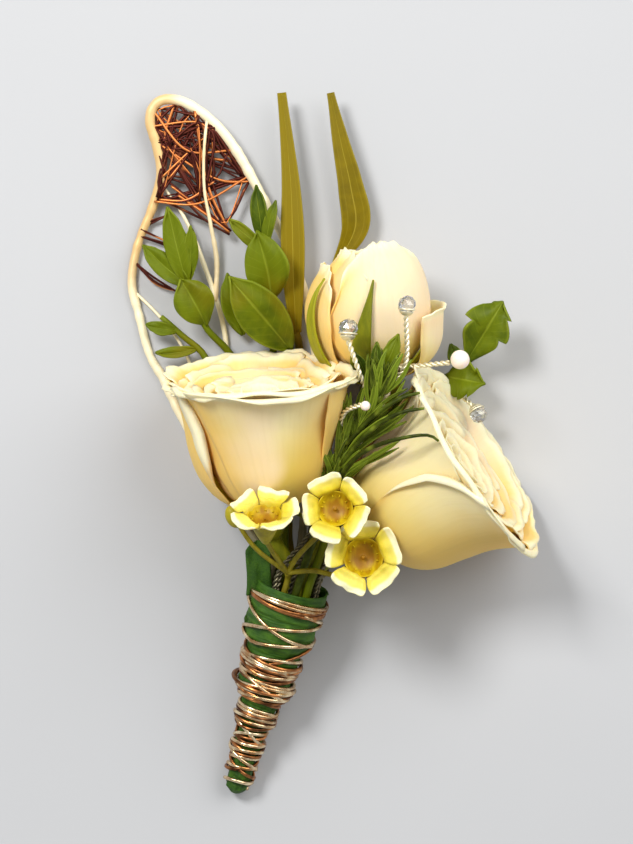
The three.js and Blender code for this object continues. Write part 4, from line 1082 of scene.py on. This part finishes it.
def filler_middle(k, flower, material):
    place = filler_frame(flower)
    bm = new_piece()
    made = turned(bm, rounded(FILLER_BOWL, 48), place, 36, tone=0.3)
    tones = bm.verts.layers.float["tone"]
    back = place.inverted()
    for vert in made:
        spot = back @ vert.co
        vert[tones] = 0.42 * hypot(spot.x, spot.y) - 0.75 + 0.4 * drift(0.8 * spot.x, 0.8 * spot.y, k)
    for knob in range(KNOBS):
        turn = FULL_TURN * (knob + uniform(-0.2, 0.2)) / KNOBS
        foot, tip = around(2.75, turn, 0.3), around(2.3, turn, uniform(0.3, 0.6))
        line = [place @ foot, place @ foot.lerp(tip, 0.6), place @ tip]
        tubes(bm, [(line, KNOB_RADII)], 6, tone=0.8)
    finish_piece(bm, f"filler_{k}_heart", [f"filler_{k}_middle"], material)


def filler_stems(material):
    bm = new_piece()
    fork, bud = seen(*FORK), seen(*BUD)
    runs = [(smooth(in_sheath([fork], outer_slot(4)), 16), FORK_RADIUS)]
    for flower in FILLERS:
        place = filler_frame(flower)
        turned(bm, rounded(FILLER_CUP, 36), place, 30, tone=0.7)
        run = [place @ Vector((0, 0, -5)), *seen_all(flower["stem"]), fork]
        runs.append((smooth(run, 24), FILLER_STEM_RADIUS))
    runs.append((smooth([bud, seen(*BUD_STEM), fork], 18), BUD_STEM_RADIUS))
    tubes(bm, runs, 8, tone=0.3)
    turned(bm, rounded(BUD_PROFILE, 20), lined_up(bud, Vector(BUD_LEAN).normalized()), 20, tone=1.0)
    finish_piece(bm, "filler_cups", ["filler_stems"], material)


# Needles: how far down the stem, direction, length and rise of the largest ones. Smaller ones grow by them.
NEEDLE_CORE = [(9.2, 10, 29), (6, 4.4, 27), (2, -2.6, 25), (-1.8, -11.8, 22.4), (-4.6, -20.2, 19.4)]
NEEDLES = [
    (0.02, 94, 9, 2), (0.06, 84, 10, 1), (0.02, 62, 9, 3), (0.1, 82, 9, 2.5), (0.16, 70, 11, 2),
    (0.2, 48, 11, 4), (0.26, 84, 9, 1.5), (0.3, 38, 12.2, 5.4), (0.36, 58, 12, 3.4), (0.42, 90, 10, 2),
    (0.46, 34, 14, 7.4), (0.52, 72, 11, 2.5), (0.56, 46, 12, 5), (0.6, 96, 8, 1.6), (0.64, 60, 11, 3.6),
]
# A few long ones that lie over the right rose.
LONG_NEEDLES = [
    [(-0.4, -8.4, 25), (5.2, -1.4, 32), (12, 1.4, 37), (18.6, 2.2, 38.6), (20.2, 1.2, 38.4)],
    [(1.4, -3.4, 26), (7, 3, 31), (13, 6.6, 34.4), (17.4, 7.4, 35.4)],
    [(2.6, 0.6, 27), (8, 6.2, 31), (13.6, 9.6, 33.4), (16.6, 10.4, 33.8)],
]
NEEDLE_THICKNESS = 0.3 * MM
NEEDLE_GRID = (4, 12)
CORE_STEPS = 100
CORE_RADIUS = 0.6


def needle_spray(material):
    bm = new_piece()
    core = smooth(seen_all(NEEDLE_CORE), CORE_STEPS)
    tubes(bm, [(smooth(in_sheath(seen_all(NEEDLE_CORE), outer_slot(3)), 40), CORE_RADIUS)], 8, tone=0.2)
    for along_stem, direction, length, rise in NEEDLES:
        for copy in range(7 if direction > 60 else 4):
            spread = 0 if copy == 0 else 1
            down = clamp(along_stem + spread * uniform(-0.05, 0.08))
            turn = radians(direction + spread * uniform(-14, 16))
            reach = length * (1.06 - spread * uniform(0.0, 0.3))
            start = core[int(down * CORE_STEPS)]
            up = rise + spread * uniform(-0.6, 1.6)
            end = start + around(reach, turn, up)
            shape = {"width": uniform(0.6, 1.05), "arch": uniform(-0.3, 0.9), "fold": 0.5,
                     "sway": uniform(-1.0, 1.0), "widest": 0.4, "stalk": 0.2}
            blade(bm, start, end, shape, *NEEDLE_GRID)
    for line in LONG_NEEDLES:
        points = smooth(seen_all(line), 24)
        tubes(bm, [(points, [0.34 - 0.2 * (k / 24) ** 3 for k in range(25)])], 6, tone=0.1)
    finish_piece(bm, "needles", ["needle_spray"], material, NEEDLE_THICKNESS)


# Ends of tape that stand off the sheath.
TAPE_TABS = [
    dict(foot=(-14.1, -28.2, 14), tip=(-14.6, -18, 16.4), width=4.6, widest=0.5, fold=0.25, stalk=2.6),
    dict(foot=(-15, -32.4, 11.5), tip=(-16.9, -33.6, 11.2), width=2.6, widest=0.3),
]


def tape(material):
    bm = new_piece()
    lap = TAPE_LENGTH / TAPE_LAPS

    def surface(u, v):
        depth = v * TAPE_LENGTH
        fold = (depth / lap + u) % 1
        radius = between(TAPE_RADII, depth) + TAPE_LAP_RISE * (0.3 + 1.1 * fold ** 2)
        swing = FULL_TURN * u
        radius += 0.3 * drift(*around(2.6, swing, depth * 0.25))
        radius += 0.16 * drift(*around(9, swing, depth * 0.9))
        if depth > TAPE_LENGTH - TAPE_END:
            radius *= max(0.0, (TAPE_LENGTH - depth) / TAPE_END) ** 0.5
        return across(radius, 360 * u, depth)

    made = sheet(bm, surface, 72, 220, tone=0.4)
    bmesh.ops.remove_doubles(bm, verts=made, dist=1e-3)
    for tab in TAPE_TABS:
        blade(bm, *seen_all((tab["foot"], tab["tip"])), tab, 10, 20, tone=0.8)
    finish_piece(bm, "tape_wrap", ["tape"], material, TAPE_THICKNESS)


# Runs of wire, by turns made, depth reached and how far the loops sway along the stem.
GOLD_TURNS = [
    (0, 2.0, 1.4), (2.2, 3.2, 1.6), (3.2, 13.6, 1.6), (3.8, 15, 0.8), (6.8, 18.2, 0.9), (7.8, 19.6, 1.0),
    (10.8, 22.8, 0.9), (11.6, 26.4, 1.0), (14.2, 29.2, 0.8), (15, 32.4, 0.9), (17.6, 35.8, 0.7),
    (18.6, 38.2, 1.3), (20.4, 42.8, 0.6),
]
COPPER_TURNS = [
    (0, 2.2, 1.4), (2.6, 3.6, 1.6), (3.4, 14.6, 1.6), (6.2, 18.2, 0.9), (7.2, 20.2, 1.0), (9.6, 23.2, 0.8),
    (10.4, 26.8, 1.0), (12.8, 29.4, 0.8), (13.8, 33, 0.9), (15.8, 36, 0.9), (17.2, 40.6, 1.2),
]
COUNTER_TURNS = [
    (0, 3.6, 0.9), (0.8, 12.4, 1.4), (1.7, 5.2, 1.8), (2.6, 15.4, 1.4), (3.6, 18.4, 1.2), (4.5, 24.6, 1.4),
    (5.5, 28.6, 1.2), (6.4, 33.4, 1.2), (7.4, 39, 1.2),
]
SHORT_COUNTER = [(turns, max(depth, 13.5), slack) for turns, depth, slack in COUNTER_TURNS[2:]]
# The wires wound round the sheath: radius, tone, which is lower for more stretches of painted shade, and, for
# each run, its turns, first angle and hand.
WINDINGS = {
    "gold": (0.38, 0.36, [(GOLD_TURNS, 200, 1), (COUNTER_TURNS, 60, -1)]),
    "copper": (0.35, 0.3, [(COPPER_TURNS, 320, 1), (SHORT_COUNTER, 150, -1)]),
}
STEPS_TO_A_TURN = 28
WIRE_LIFT = 0.42
# Where the turns lie on each other: the middle, reach and rise of each band.
BANDS = [(2.0, 1.5, 0.4), (16.2, 1.7, 0.7), (20.8, 1.7, 0.8), (27.8, 1.6, 0.7), (34, 1.6, 0.6),
         (39.6, 1.2, 0.5)]


def winding(table, start, hand, radius):
    """The points and radius of a wire wound round the sheath from an angle, one way or the other."""
    begin, last = table[0][0], table[-1][0]
    count = round((last - begin) * STEPS_TO_A_TURN)
    points = []
    for k in range(count + 1):
        turns = begin + (last - begin) * k / count
        reached = between([(n, depth) for n, depth, _ in table], turns)
        sway = between([(n, slack) for n, _, slack in table], turns)
        lean = FULL_TURN * 0.5 * drift(turns * 0.7, start, 2)
        sway *= 0.5 + 0.8 * abs(drift(turns * 0.45, start))
        depth = clamp(reached + sway * sin(FULL_TURN * turns + lean), 0.7, TAPE_LENGTH - TAPE_END)
        layer = sum(rise * exp(-((depth - middle) / reach) ** 2) for middle, reach, rise in BANDS)
        lift = WIRE_LIFT + radius + 0.15 * abs(drift(turns * 3.1, start, 5))
        lift += layer * clamp(0.5 + 1.1 * drift(turns * 1.1, start, 9), 0, 1.3)
        points.append(across(between(TAPE_RADII, depth) + lift, start + hand * 360 * turns, depth))
    return points, radius


def windings(kind, material):
    radius, tone, runs = WINDINGS[kind]
    bm = new_piece()
    tubes(bm, [winding(*run, radius) for run in runs], 8, tone)
    finish_piece(bm, f"{kind}_winding", [f"{kind}_wire"], material)


# The picks: the middle and radius of each head, whether it is a cut stone, and its wire.
PICKS = {
    "stone_left": {
        "head": (2.9, 22.8, 30), "radius": 1.9, "cut": True, "slot": outer_slot(5),
        "wire": [(2.7, 20.2, 30), (5, 14.4, 30), (6.2, 10.6, 27.6), (4.2, 4, 22.6), (1, -4, 19.2),
                 (-3.4, -15, 17.4)],
    },
    "stone_back": {
        "head": (14.2, 27.4, 29.6), "radius": 1.75, "cut": True, "slot": (INNER, 90),
        "wire": [(14, 25, 29.4), (13.9, 16, 27), (11.4, 12, 24.6), (8, 5.4, 22.2), (4.1, -2, 19.8),
                 (-0.6, -13, 16.8)],
    },
    "pearl_right": {
        "head": (24.4, 16.8, 24.4), "radius": 1.85, "cut": False, "slot": outer_slot(1),
        "wire": [(21.9, 16.1, 23.8), (16.4, 15.6, 22), (11.8, 15, 20.4), (8.4, 8.6, 18.8), (4.4, -1, 17.4),
                 (0.6, -12, 16.4), (-1.2, -21, 17.2)],
    },
    "stone_right": {
        "head": (28, 6.3, 8.4), "radius": 1.75, "cut": True, "slot": outer_slot(0),
        "wire": [(25.6, 10.4, 6.6), (21, 12.4, 2.4), (16.6, 11, 1.4), (10.8, 4.2, 1), (5.4, -5, 2.2),
                 (3.6, -12.5, 5.2), (2.4, -18.6, 9.4)],
    },
    "pearl_small": {
        "head": (6.2, 7.9, 33.6), "radius": 0.95, "cut": False, "slot": (INNER, 150),
        "wire": [(5.4, 8.4, 32.2), (2.2, 6.6, 28.8), (1, 1, 24.8), (-2.4, -12.6, 19.2), (-5.6, -21, 17.4)],
    },
}
# The rims that hold a stone, as shares of its radius.
SETTING = [(0.2, -1.25), (0.5, -1.12), (0.74, -0.88), (0.8, -0.7), (0.72, -0.78), (0.4, -1.02), (0.2, -1.25)]
COLLAR = [(0.9, -0.6), (0.96, -0.52), (0.94, -0.4), (0.88, -0.46), (0.9, -0.6)]
PICK_STRAND = 0.27
PICK_PITCH = 2.3
PICK_STEPS = 260
STONE_GAP, PEARL_GAP = 0.1, 0.3


def twisted(path, radius, pitch):
    """Two strands of one radius twisted together along a path."""
    across_it = (path[1] - path[0]).orthogonal().normalized()
    runs = ([], [])
    reach = 0.0
    for k, point in enumerate(path):
        ahead = path[min(k + 1, len(path) - 1)] - path[max(k - 1, 0)]
        ahead.normalize()
        across_it = (across_it - ahead * across_it.dot(ahead)).normalized()
        other = ahead.cross(across_it)
        if k:
            reach += (point - path[k - 1]).length
        turn = FULL_TURN * reach / pitch
        off = across_it * cos(turn) * radius + other * sin(turn) * radius
        runs[0].append(point + off)
        runs[1].append(point - off)
    return [(run, radius) for run in runs]


def pick(name, plan, wire_material, head_material):
    at = seen(*plan["head"])
    path = in_sheath(seen_all(plan["wire"]), plan["slot"])
    back = (path[0] - at).normalized()
    radius = plan["radius"]
    seat = at + back * (radius + (STONE_GAP if plan["cut"] else PEARL_GAP))
    place = lined_up(at, -back) @ Matrix.Scale(radius, 4)
    bm = new_piece()
    if plan["cut"]:
        made = bmesh.ops.create_icosphere(bm, subdivisions=2, radius=1.0, matrix=place)
    else:
        made = bmesh.ops.create_uvsphere(bm, u_segments=32, v_segments=20, radius=radius,
                                         matrix=Matrix.Translation(at))
    mark(bm, made["verts"])
    finish_piece(bm, f"{name}_head", [name], head_material,
                 flat=plan["cut"])
    bm = new_piece()
    line = smooth([seat, *path[1:]], PICK_STEPS)
    tubes(bm, twisted(line, PICK_STRAND, PICK_PITCH), 8, tone=1.0)
    if plan["cut"]:
        for rim in (SETTING, COLLAR):
            turned(bm, rounded(rim, 24), place, 24)
    shade_low(bm)
    finish_piece(bm, f"{name}_twist", [f"{name}_wire"], wire_material)


# The lights and the floor, in metres, and the camera, which shows what the photo shows. Its sensor is in
# millimetres and the photo's height in pixels.
SUBJECT = (0, 0, 0.01)
KEY_PLACE, KEY_SIZE = (-0.34, 0.36, 0.66), 0.26
FILL_PLACE, FILL_SIZE = (0.5, 0.42, 0.6), 0.9
LAMP_COLOUR = (1.0, 0.98, 0.95)
SKY_COLOUR = (1.0, 0.985, 0.96, 1.0)
HALF_FLOOR = 1.5
SENSOR = 36.0
PHOTO_HEIGHT = 844
PIXELS_TO_A_MM = 5.2
CLIP_START = 0.01


def area_light(name, place, size, power):
    lamp = bpy.data.lights.new(name, "AREA")
    lamp.shape = "DISK"
    lamp.size = size
    lamp.energy = power
    lamp.color = LAMP_COLOUR
    holder = bpy.data.objects.new(name, lamp)
    holder.location = place
    holder.rotation_euler = (Vector(SUBJECT) - Vector(place)).to_track_quat("-Z", "Y").to_euler()
    bpy.context.scene.collection.objects.link(holder)


# Colours that follow from the piece and aren't set in the sidebar.
CALYX_GREEN, CALYX_LIGHT = (0.13, 0.15, 0.003), (0.30, 0.30, 0.008)
# The fillers' shade colour is painted shade on their petals' sides, as on the roses.
FILLER_COLOURS = dict(body=(0.82, 0.68, 0.13), foot=(0.60, 0.45, 0.01), lip=(0.95, 0.90, 0.58),
                      blush=(0.80, 0.66, 0.14), shade=(0.60, 0.46, 0.03), dusk=(0.80, 0.62, 0.10))
HEART_DARK, HEART_LIGHT = (0.30, 0.14, 0.001), (0.62, 0.47, 0.004)
OLIVE_DARK, OLIVE_LIGHT = (0.16, 0.13, 0.005), (0.40, 0.34, 0.015)
LEAF_RIB, GRASS_RIB = (0.30, 0.36, 0.03), (0.52, 0.42, 0.05)
# Shaded copies of the gold and copper, painted on their darker stretches as shade.
GOLD_SHADE, COPPER_SHADE = (0.42, 0.20, 0.06), (0.085, 0.032, 0.013)
# The paler colour of the pearls' painted sheen.
PEARL_SHEEN = (0.95, 0.90, 0.84, 1.0)


class Step:
    """What the steps share."""
    bl_options = {"REGISTER", "UNDO"}


class BOUTONNIERE_OT_roses(Step, bpy.types.Operator):
    """Models the three roses, with their calyxes and stems"""
    bl_idname = "boutonniere.roses"
    bl_label = "Roses"

    def execute(self, context):
        colours = context.scene.boutonniere_roses
        green = stem_paint("rose green", CALYX_GREEN, CALYX_LIGHT, 0.45)
        for side, rose in ROSES.items():
            seed(f"rose {side}")
            petals = petal_paint(f"rose petal {side}", colours.body, colours.foot, colours.lip, colours.blush,
                                 colours.shade, colours.dusk, foot_and_shade_top=rose["foot_and_shade_top"])
            rose_bloom(f"rose_{side}", rose, petals, colours)
            rose_green(f"rose_{side}", rose, green, context.scene.boutonniere_greens)
        return {"FINISHED"}


class BOUTONNIERE_OT_fillers(Step, bpy.types.Operator):
    """Models the small filler flowers with their cups, stems and bud"""
    bl_idname = "boutonniere.fillers"
    bl_label = "Filler flowers"

    def execute(self, context):
        seed("fillers")
        petals = petal_paint("filler petal", **FILLER_COLOURS, pale_from=0.62)
        heart = stem_paint("filler heart", HEART_DARK, HEART_LIGHT, 0.35)
        olive = stem_paint("filler olive", OLIVE_DARK, OLIVE_LIGHT, 0.4)
        for k, flower in enumerate(FILLERS, 1):
            filler_petals(k, flower, petals)
            filler_middle(k, flower, heart)
        filler_stems(olive)
        return {"FINISHED"}


class BOUTONNIERE_OT_leaves(Step, bpy.types.Operator):
    """Models the leafy sprigs and the grass blades"""
    bl_idname = "boutonniere.leaves"
    bl_label = "Leaves and grass"

    def execute(self, context):
        seed("leaves")
        sizes = context.scene.boutonniere_greens
        # The sprigs' mottle between the darker and lighter green is partly their own and partly painted light
        # and shade.
        green = leaf_paint("leaf", sizes.leaf, sizes.leaf_light, LEAF_RIB, 0.4, ripe=0.6)
        for name, plan in SPRIGS.items():
            sprig(name, plan, green, sizes)
        straw = leaf_paint("grass", rgba(sizes.grass, 0.6), sizes.grass, GRASS_RIB, 0.45, veins=0.0)
        for name, plan in GRASS.items():
            grass_blade(name, plan, straw)
        return {"FINISHED"}


class BOUTONNIERE_OT_needles(Step, bpy.types.Operator):
    """Models the spray of dark needles"""
    bl_idname = "boutonniere.needles"
    bl_label = "Needles"

    def execute(self, context):
        seed("needles")
        colour = context.scene.boutonniere_greens.needle
        # Needles in a darker and a far lighter copy of their colour, as painted light and shade, with a
        # painted highlight along the middle and the edges.
        needle_highlight = (colour[0] * 9, colour[1] * 8, colour[2] * 12)
        needle_spray(leaf_paint("needle", rgba(colour, 0.6), rgba(colour, 4.2), needle_highlight, 0.34, veins=0.0))
        return {"FINISHED"}


class BOUTONNIERE_OT_leaf_frame(Step, bpy.types.Operator):
    """Models the leaf frame of covered wire and its copper net"""
    bl_idname = "boutonniere.leaf_frame"
    bl_label = "Leaf frame"

    def execute(self, context):
        seed("net")
        colours = context.scene.boutonniere_binding
        leaf_frame(wire_paint("covered wire", colours.covered, colours.worn, 0.4, metal=0.15, patches=60.0))
        copper_net(wire_paint("net wire", colours.net, colours.net_shade, 0.36, metal=0.8, patches=420.0))
        return {"FINISHED"}


class BOUTONNIERE_OT_binding(Step, bpy.types.Operator):
    """Models the floral tape and the wires wound round it"""
    bl_idname = "boutonniere.binding"
    bl_label = "Tape and windings"

    def execute(self, context):
        seed("tape")
        colours = context.scene.boutonniere_binding
        tape(tape_paint("floral tape", colours.tape, colours.tape_light))
        windings("gold", wire_paint("gold wire", colours.gold, GOLD_SHADE, 0.18, patches=420.0))
        windings("copper", wire_paint("copper wire", colours.copper, COPPER_SHADE, 0.24, patches=360.0))
        return {"FINISHED"}


class BOUTONNIERE_OT_picks(Step, bpy.types.Operator):
    """Models the stones and pearls on their twisted wires"""
    bl_idname = "boutonniere.picks"
    bl_label = "Picks"

    def execute(self, context):
        colours = context.scene.boutonniere_picks
        # The pick wire's darker stretches are a shaded copy of its colour, as painted shade.
        wire = wire_paint("pick wire", colours.wire, rgba(colours.wire, 0.55), 0.3, metal=0.7)
        stone = Paint("clear stone")
        # Patches of a darker copy of the tint: painted shade on the stone's facets.
        facet_shade = stone.cloud(stone.place(), 700.0, 1.0)
        stone = stone.finish(Base_Color=stone.blend(facet_shade, rgba(colours.stone), rgba(colours.stone, 0.55)),
                             Roughness=0.03 + facet_shade * 0.05, Transmission_Weight=0.9, IOR=1.6, Metallic=0.0,
                             Coat_Weight=1.0)
        pearl = Paint("pearl")
        # Paler patches of painted sheen on the pearls.
        sheen_patches = pearl.cloud(pearl.place(), 260.0, 1.0)
        pearl = pearl.finish(Base_Color=pearl.blend(sheen_patches, rgba(colours.pearl), PEARL_SHEEN),
                             Roughness=0.18 + sheen_patches * 0.1, Coat_Weight=0.8, Coat_Roughness=0.08,
                             Subsurface_Weight=0.2, Subsurface_Scale=0.001)
        for name, plan in PICKS.items():
            pick(name, plan, wire, stone if plan["cut"] else pearl)
        return {"FINISHED"}


class BOUTONNIERE_OT_stage(Step, bpy.types.Operator):
    """Lays the floor and sets the lights and the camera"""
    bl_idname = "boutonniere.stage"
    bl_label = "Stage"

    def execute(self, context):
        settings = context.scene.boutonniere_stage
        bm = bmesh.new()
        bmesh.ops.create_grid(bm, x_segments=1, y_segments=1, size=HALF_FLOOR)
        mesh = bpy.data.meshes.new("floor")
        bm.to_mesh(mesh)
        bm.free()
        floor = bpy.data.objects.new("floor", mesh)
        context.scene.collection.objects.link(floor)
        paint = Paint("floor")
        haze = paint.cloud(paint.place(), 14.0, 3.0)
        mesh.materials.append(paint.finish(
            Base_Color=paint.blend(haze * 0.5, rgba(settings.floor), rgba(settings.floor, 1.12)),
            Roughness=0.6 + haze * 0.1))
        area_light("key", KEY_PLACE, KEY_SIZE, settings.key)
        area_light("fill", FILL_PLACE, FILL_SIZE, settings.fill)
        world = bpy.data.worlds.new("studio")
        world.use_nodes = True
        background = world.node_tree.nodes["Background"]
        background.inputs["Color"].default_value = SKY_COLOUR
        background.inputs["Strength"].default_value = settings.sky
        context.scene.world = world
        context.scene.view_settings.view_transform = "Standard"
        camera = bpy.data.cameras.new("camera")
        camera.sensor_width = SENSOR
        camera.lens = SENSOR * (EYE.z - MEASURING_PLANE) / (PHOTO_HEIGHT / PIXELS_TO_A_MM)
        camera.clip_start = CLIP_START
        holder = bpy.data.objects.new("camera", camera)
        holder.location = EYE * MM
        context.scene.collection.objects.link(holder)
        context.scene.camera = holder
        return {"FINISHED"}


class BOUTONNIERE_PT_sidebar(bpy.types.Panel):
    """Lists the steps in the order they are made"""
    bl_idname = "BOUTONNIERE_PT_sidebar"
    bl_label = "Boutonniere"
    bl_space_type = "VIEW_3D"
    bl_region_type = "UI"
    bl_category = "Boutonniere"

    def draw(self, context):
        for step in STEPS:
            self.layout.operator(step.bl_idname)
        for name in SETTINGS:
            group = getattr(context.scene, name)
            box = self.layout.box()
            for prop in group.bl_rna.properties:
                if prop.identifier not in ("rna_type", "name"):
                    box.prop(group, prop.identifier)


STEPS = (BOUTONNIERE_OT_roses, BOUTONNIERE_OT_fillers, BOUTONNIERE_OT_leaves, BOUTONNIERE_OT_needles,
         BOUTONNIERE_OT_leaf_frame, BOUTONNIERE_OT_binding, BOUTONNIERE_OT_picks, BOUTONNIERE_OT_stage)
SETTINGS = {
    "boutonniere_roses": RoseColours, "boutonniere_greens": GreenColours,
    "boutonniere_binding": BindingColours, "boutonniere_picks": PickColours,
    "boutonniere_stage": StageSettings,
}


def register():
    for group in SETTINGS.values():
        bpy.utils.register_class(group)
    for name, group in SETTINGS.items():
        setattr(bpy.types.Scene, name, PointerProperty(type=group))
    for kind in (*STEPS, BOUTONNIERE_PT_sidebar):
        bpy.utils.register_class(kind)


def unregister():
    for kind in reversed((*STEPS, BOUTONNIERE_PT_sidebar)):
        bpy.utils.unregister_class(kind)
    for name in SETTINGS:
        delattr(bpy.types.Scene, name)
    for group in reversed(SETTINGS.values()):
        bpy.utils.unregister_class(group)


def main():
    register()
    bpy.ops.boutonniere.roses()
    bpy.ops.boutonniere.fillers()
    bpy.ops.boutonniere.leaves()
    bpy.ops.boutonniere.needles()
    bpy.ops.boutonniere.leaf_frame()
    bpy.ops.boutonniere.binding()
    bpy.ops.boutonniere.picks()
    bpy.ops.boutonniere.stage()


if __name__ == "__main__":
    main()
